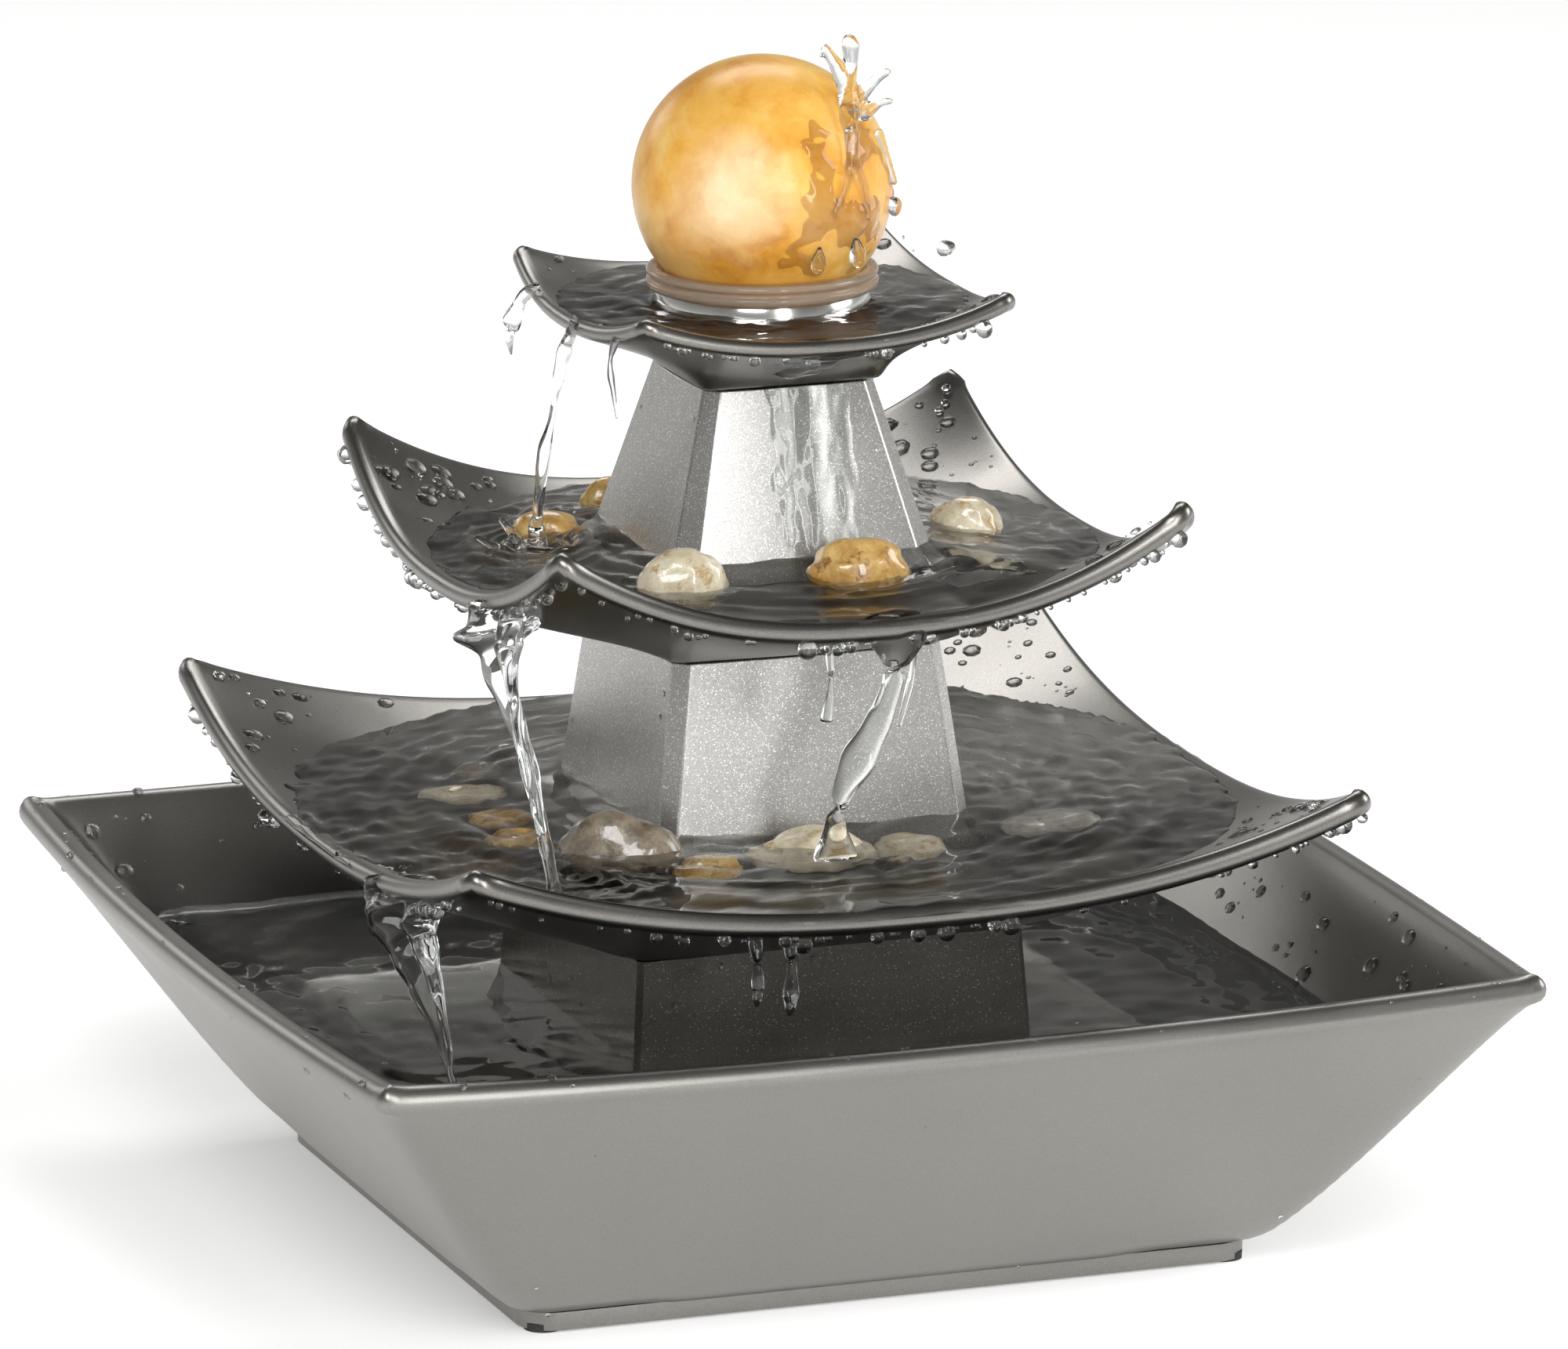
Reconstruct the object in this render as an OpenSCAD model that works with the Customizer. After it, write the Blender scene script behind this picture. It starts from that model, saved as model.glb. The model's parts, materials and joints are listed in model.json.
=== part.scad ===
// Tabletop water fountain: a square basin, three upswept square dishes stacked on tapered
// columns, and a stone ball that turns on a film of water in a clear cup.
// X runs along the front, Y to the back, Z up. The origin is the middle of the footprint.
// The columns, dishes, tube and pump cover lift off the basin as one tower.

/* [Basin] */
// Half width of the basin, from the middle to a rim corner
basin_half = 127; // [112:1:155]
// Height of the basin's rim at a corner
basin_rim_z = 69; // [62:1:84]
// Fall of the rim from a corner to the middle of a side
basin_dip = 1.6; // [0:0.1:6]
// How far the rim bows out at the middle of a side
basin_bow = 4.6; // [0:0.1:8]
// Half width of the flat bottom
basin_bottom_half = 83; // [74:1:90]
// Thickness of the basin's wall and floor
basin_wall = 6.5; // [4:0.5:8]
// Height of the bottom above the surface the fountain stands on
basin_clearance = 3.9; // [3:0.1:6]
// Half width of the foot ring
foot_half = 80.5; // [70:0.5:82]
// Width of the foot ring
foot_w = 10; // [9:1:16]
// Gap between the foot ring and the surface
foot_gap = 0.5; // [0.3:0.1:1.2]
// Radius of a foot pad
pad_r = 4; // [3:0.5:4.5]
// Height of a foot pad
pad_h = 1.7; // [1.4:0.1:2.4]

/* [Pump cover] */
// Half width of the cover at its top
cover_top_half = 42.8; // [40:0.2:46]
// Height of the cover's top above the surface
cover_top_z = 66.5; // [62:0.5:80]
// How much the half width grows for each millimetre down
cover_taper = 0.068; // [0.04:0.002:0.08]
// Thickness of the cover's wall and top
cover_wall = 3.5; // [2.5:0.5:5]
// Width and height of a water inlet notch
notch = [14, 7]; // [4:1:16]
// Radius of the boss that centres the large dish on the cover
boss_r = 14; // [12:0.5:18]
// Depth of that boss
boss_h = 3; // [2:0.5:3.5]

/* [Dishes] */
// Half widths of the large, medium and small dish at their rim corners
dish_half = [99.5, 70.8, 41.6]; // [35:0.1:115]
// Height of each dish from its bottom to a rim corner
dish_rise = [38, 35.4, 21]; // [18:0.1:46]
// Fall of each rim from a corner to the middle of a side
dish_dip = [16, 19.2, 6.4]; // [0:0.1:22]
// Bow of each rim at the middle of a side, outward when positive
dish_bow = [-0.4, -2, 2.7]; // [-3:0.1:4]
// Half width of each dish's flat bottom
dish_bottom_half = [43, 30.4, 20]; // [18:0.1:50]
// Thickness of each dish
dish_wall = [5, 4.6, 3.6]; // [3:0.1:6]
// Thickness of each dish's floor
dish_floor = [5, 10.6, 3.6]; // [3:0.1:12]
// Rounding of each rim corner in plan
dish_corner = [3.5, 3.5, 2.5]; // [1:0.5:8]

/* [Columns] */
// Heights of the lower and upper column
column_h = [54.9, 44.5]; // [36:0.1:66]
// Half width of each column at its top
column_top_half = [29.9, 18.8]; // [17:0.1:34]
// How much the half width grows for each millimetre down
column_taper = [0.126, 0.281]; // [0.08:0.001:0.3]
// Corner chamfer of each column at its top
column_chamfer_top = [3, 3]; // [1:0.1:5]
// Corner chamfer of each column at its bottom
column_chamfer_bottom = [3.2, 4.8]; // [1:0.1:6]
// Thickness of the column walls
column_wall = 3; // [2:0.5:4]

/* [Ball and cup] */
// Radius of the stone ball
ball_r = 27.4; // [24:0.1:32]
// Gap between the ball and its cup, filled by the water film
film = 0.35; // [0.3:0.05:0.6]
// Height of the cup's rim above the small dish's bottom
cup_rim_h = 22; // [21:0.5:28]
// Height of the cup's clear rim
cup_rim_t = 4.2; // [3:0.1:6]
// Radial width of the cup's lip around the ball
cup_lip = 2.6; // [2:0.1:4]
// How deep the ball sits below the cup's rim
ball_sink = 10.3; // [8:0.1:13]
// Radius of the water nozzle in the cup
nozzle_r = 2.5; // [1.5:0.1:3]

/* [Water tube] */
// Outer radius of the supply tube
tube_r = 6; // [5:0.5:7]
// Wall of the supply tube
tube_wall = 1.5; // [1:0.1:2]
// Radial width of a tube grommet
grommet_w = 3; // [2:0.5:4]

/* [Pump] */
// Width of the pump body
pump_w = 40; // [36:1:46]
// Length of the pump body
pump_l = 38; // [36:1:42]
// Height of the pump body
pump_h = 30; // [30:1:34]
// Height of the suction cups
cup_h = 5.6; // [4:0.2:7]
// Radius of the magnet rotor
rotor_r = 7.5; // [6:0.1:8.5]
// Radius over the impeller blades
blade_r = 9; // [8:0.1:9.4]
// Radius of the impeller's shaft
shaft_r = 1; // [0.8:0.05:1.4]
// Depth of the strainer cover
strainer_d = 12; // [10:1:14]
// Radius of the flow dial
dial_r = 9; // [7:0.5:10]

/* [Fits] */
// Radial clearance of a running fit
run_gap = 0.08; // [0.04:0.01:0.1]
// Clearance of a loose fit between pieces that lift apart
loose_gap = 0.3; // [0.25:0.05:0.5]
// Clearance between pieces that are bonded
bond_gap = 0.05; // [0.02:0.01:0.1]

/* [Hidden] */
$fn = 64;
SIDE_STEPS = 8;
CORNER_STEPS = 4;
RIM_POWER = 2.4;
RIM_ARC = [45, 90, 135];
eps = 0.01;

// Rise of each wall over its run, as the middle control points of a cubic curve
basin_curve = [[0.34, 0.26], [0.66, 0.68]];
dish_curve = [
    [[0.33, 0.27], [0.67, 0.63]],
    [[0.33, 0.28], [0.72, 0.60]],
    [[0.10, 0.38], [0.50, 0.64]]
];
WALL_STEPS = [0.12, 0.3, 0.5, 0.7, 0.85, 1];

basin_floor_z = basin_clearance + basin_wall;
basin_corner_in = 6;
basin_corner_out = 2.5;
foot_corner_in = 3;
foot_corner_out = 8;
pad_offset = foot_half - foot_w / 2;

// Heights of the dish bottoms, dish floors and column feet
dish_z1 = cover_top_z;
dish_z2 = dish_z1 + dish_floor[0] + column_h[0];
dish_z3 = dish_z2 + dish_floor[1] + column_h[1];
dish_z = [dish_z1, dish_z2, dish_z3];
floor_z = dish_z + dish_floor;
cup_rim_z = dish_z3 + cup_rim_h;
ball_z = cup_rim_z - ball_sink + ball_r;

tube_bore_r = tube_r - tube_wall;
grommet_r = tube_r + grommet_w;
nipple_r = tube_bore_r - loose_gap;
nipple_h = 6;

// Ball cup and the collar it stands in
cup_flange_z = cup_rim_z - cup_rim_t;
cup_bottom_t = 3.8;
cup_bottom_z = ball_z - ball_r - film - cup_bottom_t;
cup_lip_r = sqrt(pow(ball_r + film, 2) - pow(ball_z - cup_rim_z, 2)) + cup_lip;
collar_r = cup_lip_r - 1.7;
collar_wall = 1.8;
cup_body_r = collar_r - collar_wall - loose_gap;
cup_step_z = cup_flange_z - 4.2;
cup_foot_r = 15;
collar_floor_z = floor_z[2];
collar_foot_r = cup_foot_r + loose_gap + collar_wall;
collar_flare_z = collar_floor_z + 4;

// Pump: its impeller lies along Y, with the volute under the supply tube
pump_front_y = -8;
pump_z = basin_floor_z + cup_h;
pump_top_z = pump_z + pump_h;
axle_z = pump_z + pump_h / 2;
volute_r = blade_r + 1.5;
volute_d = 10;
rotor_y = pump_front_y + volute_d + 0.8;
rotor_l = 20;
rotor_gap = 0.7;
cavity_end_y = rotor_y + rotor_l + rotor_gap;
bush_r = 3;
bush_l = 3.5;
inner_cover_t = 2.5;
hub_r = bush_r + 1.5;
hub_l = bush_l + 1;
strainer_wall = 1.6;
strainer_inset = 1;
inner_cover_r = pump_h / 2 - strainer_inset - strainer_wall - loose_gap;
strainer_front_y = pump_front_y - strainer_d;
outlet_r = 5.4;
outlet_depth = 4;
outlet_flange_t = 1.5;
outlet_bore_r = 2.8;
nipple_top_z = pump_top_z + 12;
tube_bottom_z = pump_top_z + outlet_flange_t + 0.5;
tube_top_z = cup_bottom_z - 0.9;
gland_at = [-10, pump_z + 8];
gland_r = 3.5;
gland_l = 6;
gland_sink = 3;
cord_r = 1.7;
bung_at = [-30, 30];
bung_r = 5;
bung_lip = 1.6;
suction_r = 6;
suction_at = [for (x = [-1, 1], y = [0.2, 0.8]) [x * (pump_w / 2 - 6), pump_front_y + pump_l * y]];

// Loose stones: dish number, place, half length, half width, half height and turn
PEBBLES = [
    [0, -46, -34.5, 13.5, 8, 11.8, -28],
    [0, -7, -45.5, 13, 7, 10.3, -12],
    [0, -29, -47.5, 7.6, 5, 7, -12],
    [0, 15, -46.5, 8, 5.5, 8.3, -8],
    [0, 50, -39, 12, 7, 6.5, 14],
    [0, -59, -14, 7.5, 6, 6.2, -20],
    [0, -58, 25, 9.5, 6, 6, -18],
    [0, -57, 4, 7.5, 5.6, 6, -30],
    [0, -47, 44, 7.5, 5, 7.2, 10],
    [0, -38, 57, 5, 4, 6, 20],
    [1, -41, 21, 8.8, 6, 6, -18],
    [1, -31, -38.2, 10, 6, 8, -10],
    [1, 7, -39, 11, 7, 7.8, -6],
    [1, 45, -3, 8.6, 6.5, 6.7, -20],
    [1, -21, 40, 6, 4.2, 6.8, 0]
];
PEBBLE_COLOURS = ["#6e6455", "#b3a68a", "#c28f45", "#cfc3a2", "#7d7868", "#b5762c", "#c9b68c",
                  "#b0702d", "#8a5a3a", "#7a4032", "#b9853a", "#d8cba8", "#b07a2e", "#cfc6b0", "#c08a4a"];
stone_gap = 0.3;
// A leaning wall's upright thickness over its own
UPRIGHT_WALL = 1.1;

function pebble_name(i) = str("pebble_", i + 1);

// ---- Upswept square shells ----

// Points of a square with rounded corners and bowed sides, anticlockwise
function square_ring(half, corner, bow) = [
    for (side = [0 : 3], i = [0 : SIDE_STEPS + CORNER_STEPS - 1])
        let (
            reach = half - corner,
            along = i < SIDE_STEPS ? -reach + 2 * reach * i / SIDE_STEPS : reach,
            turn = i < SIDE_STEPS ? 0 : 90 * (i - SIDE_STEPS) / CORNER_STEPS,
            x = i < SIDE_STEPS ? half + bow * (1 - pow(along / half, 2)) : reach + corner * cos(turn),
            y = i < SIDE_STEPS ? along : reach + corner * sin(turn),
            a = 90 * side
        )
        [x * cos(a) - y * sin(a), x * sin(a) + y * cos(a)]
];

// 0 at the middle of a side, 1 on a corner's diagonal
function cornerness(p) = min(abs(p.x), abs(p.y)) / max(abs(p.x), abs(p.y));

function bezier(curve, u) =
    3 * u * pow(1 - u, 2) * curve[0] + 3 * u * u * (1 - u) * curve[1] + pow(u, 3) * [1, 1];

// A wall's line at u, as half width and as share of the full rise
function wall_at(curve, half0, half1, u) =
    let (p = bezier(curve, u)) [half0 + (half1 - half0) * p.x, p.y];

// A shell's wall tangent in the plane of half width and height, level at the floor
function wall_tangent(curve, run, rise, u) =
    u == 0 ? [1, 0]
    : let (d = bezier(curve, u) - bezier(curve, u - eps), v = [d.x * run, d.y * rise]) v / norm(v);

// One ring of a shell: its half width, share of the rise, and how far it is lifted
function shell_ring(half, corner, bow, z0, rise, dip, share, lift) = [
    for (p = square_ring(half, corner, bow))
        [p.x, p.y, z0 + (rise - dip * (1 - pow(cornerness(p), RIM_POWER))) * share + lift]
];

// Rings from the outer bottom, over the rounded rim, to the inner floor
function shell_rings(z0, half0, half1, rise, dip, bow, wall, floor_t, corner0, corner1, curve) =
    let (
        mean_rise = rise - dip / 2,
        tip = wall_tangent(curve, half1 - half0, mean_rise, 1),
        edge_half = half1 - wall / 2 * (1 - tip.y),
        edge_rise = rise - wall / 2 * (1 + tip.x),
        run = edge_half - half0,
        outer = [for (u = concat([0], WALL_STEPS))
            let (p = wall_at(curve, half0, edge_half, u))
            shell_ring(p.x, corner0 + (corner1 - corner0) * p.y, bow * p.y, z0, edge_rise, dip, p.y, 0)],
        rim = [for (a = RIM_ARC)
            let (
                n = [-tip.y, tip.x],
                off = wall / 2 * (n * (1 - cos(a)) + tip * sin(a))
            )
            shell_ring(edge_half + off.x, corner1, bow, z0, edge_rise, dip, 1, off.y)],
        inner = [for (i = [len(WALL_STEPS) : -1 : 0])
            let (
                u = i == 0 ? 0 : WALL_STEPS[i - 1],
                p = wall_at(curve, half0, edge_half, u),
                t = wall_tangent(curve, run, mean_rise, u),
                half = i == 0 ? half0 - wall * wall_tangent(curve, run, mean_rise, WALL_STEPS[0]).y
                     : p.x - wall * t.y
            )
            above(z0 + floor_t, shell_ring(half, max(0.8, corner0 + (corner1 - corner0) * p.y - wall * t.y / 2),
                                        bow * p.y, z0, edge_rise, dip, p.y, wall * t.x))]
    )
    concat(outer, rim, inner);

// A ring with nothing below a height
function above(z, ring) = [for (p = ring) [p.x, p.y, max(z, p.z)]];

// Level rings with as many points as a shell's: a square and a circle
function flat_ring(half, corner, z) = [for (p = square_ring(half, corner, 0)) [p.x, p.y, z]];
function round_ring(r, z) = [for (p = square_ring(1, 0.2, 0)) let (u = p / norm(p)) [r * u.x, r * u.y, z]];

// A closed skin through rings that lead back to the first one, round a hole
module skin_loop(rings) {
    n = len(rings[0]);
    m = len(rings);
    sides = [for (j = [0 : m - 1], i = [0 : n - 1])
        let (k = (j + 1) % m, a = j * n + i, b = j * n + (i + 1) % n, c = k * n + i, d = k * n + (i + 1) % n)
        each [[a, c, b], [b, c, d]]];
    polyhedron([for (r = rings) each r], sides, convexity = 8);
}

// A closed skin through a list of rings, with a fan from the middle of the first and the last
module skin(rings) {
    n = len(rings[0]);
    m = len(rings);
    middle = m * n;
    points = concat([for (r = rings) each r], [[0, 0, rings[0][0].z], [0, 0, rings[m - 1][0].z]]);
    sides = [for (j = [0 : m - 2], i = [0 : n - 1])
        let (a = j * n + i, b = j * n + (i + 1) % n)
        each [[a, a + n, b], [b, a + n, b + n]]];
    bottom = [for (i = [0 : n - 1]) [i, (i + 1) % n, middle]];
    top = [for (i = [0 : n - 1]) [(m - 1) * n + (i + 1) % n, (m - 1) * n + i, middle + 1]];
    polyhedron(points, concat(bottom, sides, top), convexity = 8);
}

// A dish, from its outer bottom over the rim to its floor, then in to the tube's hole and back out
module dish_shell(k, floor_rings, bottom_rings) {
    skin_loop(concat(
        shell_rings(dish_z[k], dish_bottom_half[k], dish_half[k], dish_rise[k], dish_dip[k],
                    dish_bow[k], dish_wall[k], dish_floor[k], 2, dish_corner[k], dish_curve[k]),
        floor_rings, bottom_rings));
}

// A square taper with chamfered corners
module frustum(half0, chamfer0, z0, half1, chamfer1, z1) {
    skin([chamfered(half0, chamfer0, z0), chamfered(half1, chamfer1, z1)]);
}

function chamfered(half, c, z) = [
    for (side = [0 : 3], s = [-1, 1])
        let (x = half, y = s * (half - c), a = 90 * side)
        [x * cos(a) - y * sin(a), x * sin(a) + y * cos(a), z]
];

module ring_at(z, h, r_out, r_in) {
    translate([0, 0, z]) difference() {
        cylinder(h = h, r = r_out);
        translate([0, 0, -1]) cylinder(h = h + 2, r = r_in);
    }
}

// A cylinder along +Y from y = y0, centred on the impeller's axle unless told otherwise
module along_y(y0, l, r, x = 0, z = axle_z) {
    translate([x, y0, z]) rotate([-90, 0, 0]) cylinder(h = l, r = r);
}

// ---- Basin ----

module basin() {
    foot_top = basin_clearance;
    inner_half = foot_half - foot_w;
    bowl = shell_rings(basin_clearance, basin_bottom_half, basin_half, basin_rim_z - basin_clearance,
                       basin_dip, basin_bow, basin_wall, basin_wall, basin_corner_in, basin_corner_out,
                       basin_curve);
    foot = [
        flat_ring(inner_half, foot_corner_in, foot_top), flat_ring(inner_half, foot_corner_in, foot_gap),
        flat_ring(foot_half, foot_corner_out, foot_gap), flat_ring(foot_half, foot_corner_out, foot_top)
    ];
    color("#96948c") difference() {
        skin(concat(foot, bowl));
        for (x = [-1, 1], y = [-1, 1])
            translate([x * pad_offset, y * pad_offset, -1]) cylinder(h = pad_h + 1, r = pad_r + bond_gap);
        translate([bung_at.x, bung_at.y, 0]) cylinder(h = basin_floor_z + 1, r = bung_r);
        // Way out for the cord under the back of the foot ring
        translate([bung_at.x - cord_r - 1, foot_half - foot_w - 1, -1])
            cube([2 * cord_r + 2, foot_w + 2, basin_clearance + 1 - eps]);
    }
}

module foot_pads() {
    color("#2b2b2b") for (x = [-1, 1], y = [-1, 1])
        translate([x * pad_offset, y * pad_offset, 0]) cylinder(h = pad_h, r = pad_r);
}

module cord_bung() {
    color("#222222") translate([bung_at.x, bung_at.y, 0]) difference() {
        union() {
            translate([0, 0, basin_clearance]) cylinder(h = basin_wall, r = bung_r);
            translate([0, 0, basin_floor_z]) cylinder(h = 2, r = bung_r + bung_lip);
        }
        translate([0, 0, basin_clearance - 1]) cylinder(h = basin_wall + 4, r = cord_r);
    }
}

// ---- Tower ----

function cover_half(z) = cover_top_half + cover_taper * (cover_top_z - z);

module pump_cover() {
    inside_top = cover_top_z - cover_wall;
    foot_half_w = cover_half(basin_floor_z);
    color("#6b6660") difference() {
        frustum(foot_half_w, 1.2, basin_floor_z, cover_top_half, 1.2, cover_top_z);
        frustum(cover_half(basin_floor_z - 1) - cover_wall, 1, basin_floor_z - 1,
                cover_half(inside_top) - cover_wall, 1, inside_top);
        translate([0, 0, inside_top - 1]) cylinder(h = cover_wall + 2, r = boss_r + bond_gap);
        for (a = [0, 90, 180, 270], s = [-1, 1]) rotate(a)
            translate([s * foot_half_w / 2 - notch.x / 2, -foot_half_w - 1, basin_floor_z - 1])
                cube([notch.x, cover_wall + 4, notch.y + 1]);
    }
}

module tier_large() {
    boss_z = dish_z1 - boss_h;
    color("#5f5d56") dish_shell(0,
        [round_ring(grommet_r, floor_z[0])],
        [round_ring(grommet_r, boss_z), round_ring(boss_r, boss_z), round_ring(boss_r, dish_z1)]);
}

module column(k, z1) {
    z0 = floor_z[k];
    half0 = column_top_half[k] + column_taper[k] * (z1 - z0);
    color("#b9b8b3") difference() {
        frustum(half0, column_chamfer_bottom[k], z0, column_top_half[k], column_chamfer_top[k], z1);
        frustum(half0 - column_wall + column_taper[k], column_chamfer_bottom[k], z0 - 1,
                column_top_half[k] - column_wall - column_taper[k], column_chamfer_top[k], z1 + 1);
    }
}

module column_lower() { column(0, dish_z2); }

module column_upper() { column(1, dish_z3); }

module tier_medium() {
    color("#5f5d56") dish_shell(1, [round_ring(grommet_r, floor_z[1])], [round_ring(grommet_r, dish_z2)]);
}

module tier_small() {
    color("#5f5d56") dish_shell(2,
        [round_ring(grommet_r, floor_z[2])], [round_ring(grommet_r, dish_z3)]);
}

module ball_collar() {
    color("#d9d8d4") rotate_extrude() polygon([
        [tube_r + loose_gap, collar_floor_z], [collar_foot_r, collar_floor_z],
        [collar_foot_r, collar_flare_z], [collar_r, collar_flare_z + 3],
        [collar_r, cup_flange_z], [collar_r - collar_wall, cup_flange_z],
        [collar_r - collar_wall, cup_step_z - loose_gap], [cup_foot_r + loose_gap, cup_step_z - loose_gap],
        [cup_foot_r + loose_gap, cup_bottom_z - loose_gap], [tube_r + loose_gap, cup_bottom_z - loose_gap]
    ]);
}

module supply_tube() {
    color("#cfd6d8", 0.6) ring_at(tube_bottom_z, tube_top_z - tube_bottom_z, tube_r, tube_bore_r);
}

module tube_grommets() {
    color("#1f1f1f") for (k = [0 : 2])
        ring_at(dish_z[k], dish_floor[k] - bond_gap, grommet_r - bond_gap, tube_r + bond_gap);
}

// ---- Ball and cup ----

module ball_cup() {
    color("#dfe6e8", 0.5) difference() {
        union() {
            translate([0, 0, cup_flange_z]) cylinder(h = cup_rim_t, r = cup_lip_r);
            translate([0, 0, cup_step_z]) cylinder(h = cup_flange_z - cup_step_z + eps, r = cup_body_r);
            translate([0, 0, cup_bottom_z]) cylinder(h = cup_step_z - cup_bottom_z + eps, r = cup_foot_r);
            translate([0, 0, cup_bottom_z - nipple_h]) cylinder(h = nipple_h + 1, r = nipple_r);
        }
        translate([0, 0, ball_z]) sphere(r = ball_r + film);
        translate([0, 0, cup_bottom_z - nipple_h - 1]) cylinder(h = nipple_h + cup_bottom_t + 4, r = nozzle_r);
    }
}

module ball() {
    color("#e2a24a") translate([0, 0, ball_z]) sphere(r = ball_r);
}

// ---- Pump ----

module pump_body() {
    color("#26282a") difference() {
        translate([-pump_w / 2, pump_front_y, pump_z]) cube([pump_w, pump_l, pump_h]);
        along_y(pump_front_y - 1, volute_d + 1, volute_r);
        along_y(pump_front_y, cavity_end_y - pump_front_y, rotor_r + rotor_gap);
        along_y(cavity_end_y - 1, bush_l + 1, bush_r);
        translate([0, 0, axle_z]) cylinder(h = pump_h, r = outlet_bore_r);
        translate([0, 0, pump_top_z - outlet_depth - 0.2])
            cylinder(h = outlet_depth + 1, r = outlet_r + bond_gap);
        along_y(pump_front_y + pump_l - gland_sink, gland_sink + 1, gland_r + bond_gap,
                gland_at[0], gland_at[1]);
    }
}

module outlet_adaptor() {
    color("#303336") difference() {
        union() {
            translate([0, 0, pump_top_z - outlet_depth]) cylinder(h = outlet_depth + 1, r = outlet_r);
            translate([0, 0, pump_top_z]) cylinder(h = outlet_flange_t, r = outlet_r + 1.8);
            translate([0, 0, pump_top_z]) cylinder(h = nipple_top_z - pump_top_z, r = nipple_r);
        }
        translate([0, 0, pump_top_z - outlet_depth - 1])
            cylinder(h = nipple_top_z - pump_top_z + outlet_depth + 2, r = outlet_bore_r);
    }
}

module pump_gland() {
    color("#1c1c1c") difference() {
        along_y(pump_front_y + pump_l - gland_sink, gland_sink + gland_l, gland_r, gland_at[0], gland_at[1]);
        along_y(pump_front_y + pump_l - 1, gland_l + 2, cord_r, gland_at[0], gland_at[1]);
    }
}

module suction_cups() {
    color("#3a3a3a") for (p = suction_at)
        translate([p.x, p.y, basin_floor_z]) cylinder(h = cup_h, r1 = suction_r, r2 = suction_r / 2);
}

module impeller_cover() {
    y0 = pump_front_y - inner_cover_t;
    color("#34373a") difference() {
        union() {
            along_y(y0, inner_cover_t, inner_cover_r);
            along_y(y0 - hub_l + inner_cover_t, hub_l, hub_r);
        }
        along_y(pump_front_y - bush_l, bush_l + 1, bush_r);
        for (a = [0 : 60 : 300])
            along_y(y0 - 1, inner_cover_t + 2, 1.6, 7 * cos(a), axle_z + 7 * sin(a));
    }
}

module impeller() {
    blade_y = pump_front_y + 1;
    color("#e7e7e2") difference() {
        union() {
            along_y(rotor_y, rotor_l, rotor_r);
            along_y(blade_y, rotor_y - blade_y + eps, 3);
            for (a = [0 : 60 : 300]) translate([0, blade_y, axle_z]) rotate([0, a, 0])
                translate([0, 0, -0.6]) cube([blade_r, volute_d - 2, 1.2]);
        }
        along_y(blade_y - 1, rotor_y + rotor_l - blade_y + 2, shaft_r + run_gap);
    }
}

module impeller_shaft() {
    color("#f2f0ea") along_y(pump_front_y - bush_l + 0.5, cavity_end_y + bush_l - pump_front_y + bush_l - 1, shaft_r);
}

module shaft_bushes() {
    color("#202020") for (y = [pump_front_y - bush_l, cavity_end_y]) difference() {
        along_y(y, bush_l, bush_r - bond_gap);
        along_y(y - 1, bush_l + 2, shaft_r + bond_gap);
    }
}

module pump_strainer() {
    w = pump_w - 2 * strainer_inset;
    h = pump_h - 2 * strainer_inset;
    slot_h = h - 8;
    color("#2d3033") difference() {
        translate([-w / 2, strainer_front_y, pump_z + strainer_inset]) cube([w, strainer_d, h]);
        translate([-w / 2 + strainer_wall, strainer_front_y + strainer_wall,
                   pump_z + strainer_inset + strainer_wall])
            cube([w - 2 * strainer_wall, strainer_d, h - 2 * strainer_wall]);
        for (s = [-1, 1], i = [0 : 1])
            translate([s * (w / 2 - 4 - 3.5 * i) - 0.8, strainer_front_y - 1, axle_z - slot_h / 2])
                cube([1.6, strainer_wall + 2, slot_h]);
        for (s = [-1, 1]) along_y(strainer_front_y - 1, strainer_wall + 2, 2.4, s * 5, axle_z);
        along_y(strainer_front_y - 1, strainer_wall + 2, shaft_r + run_gap);
    }
}

// A disc with two windows that open or close the strainer's inlet holes
module flow_dial() {
    t = 1.8;
    y0 = strainer_front_y - t;
    color("#4a4d50") difference() {
        union() {
            along_y(y0, t, dial_r);
            along_y(y0, t + strainer_wall + 1, shaft_r);
            translate([-dial_r * 0.8, y0 - 2, axle_z + 5]) cube([dial_r * 1.6, 2.2, 1.6]);
        }
        for (s = [-1, 1]) along_y(y0 - 1, t + 2, 2.4, s * 5, axle_z);
    }
}

// ---- Stones ----

// Height of a dish's inside at a place, taken along a straight wall
function dish_height(k, x, y) =
    let (
        r = max(abs(x), abs(y)),
        share = (r - dish_bottom_half[k]) / (dish_half[k] - dish_bottom_half[k]),
        rise = dish_rise[k] - dish_dip[k] * (1 - pow(cornerness([x, y]), RIM_POWER)) - dish_wall[k]
    )
    max(floor_z[k], dish_z[k] + UPRIGHT_WALL * dish_wall[k] + rise * share);

// Height of a stone's middle when it rests in a dish
function stone_z(k, x, y, a, b, c, turn) =
    stone_gap + max([for (f = [0, 0.5, 0.75, 0.92], q = [0 : 45 : 315])
        let (u = f * a * cos(q), v = f * b * sin(q))
        dish_height(k, x + u * cos(turn) - v * sin(turn), y + u * sin(turn) + v * cos(turn))
            + c * sqrt(1 - f * f)]);

module pebble(i) {
    p = PEBBLES[i];
    z = stone_z(p[0], p[1], p[2], p[3], p[4], p[5], p[6]);
    color(PEBBLE_COLOURS[i]) translate([p[1], p[2], z]) rotate(p[6])
        scale([p[3], p[4], p[5]]) sphere(r = 1);
}

// ---- Parts ----

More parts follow.
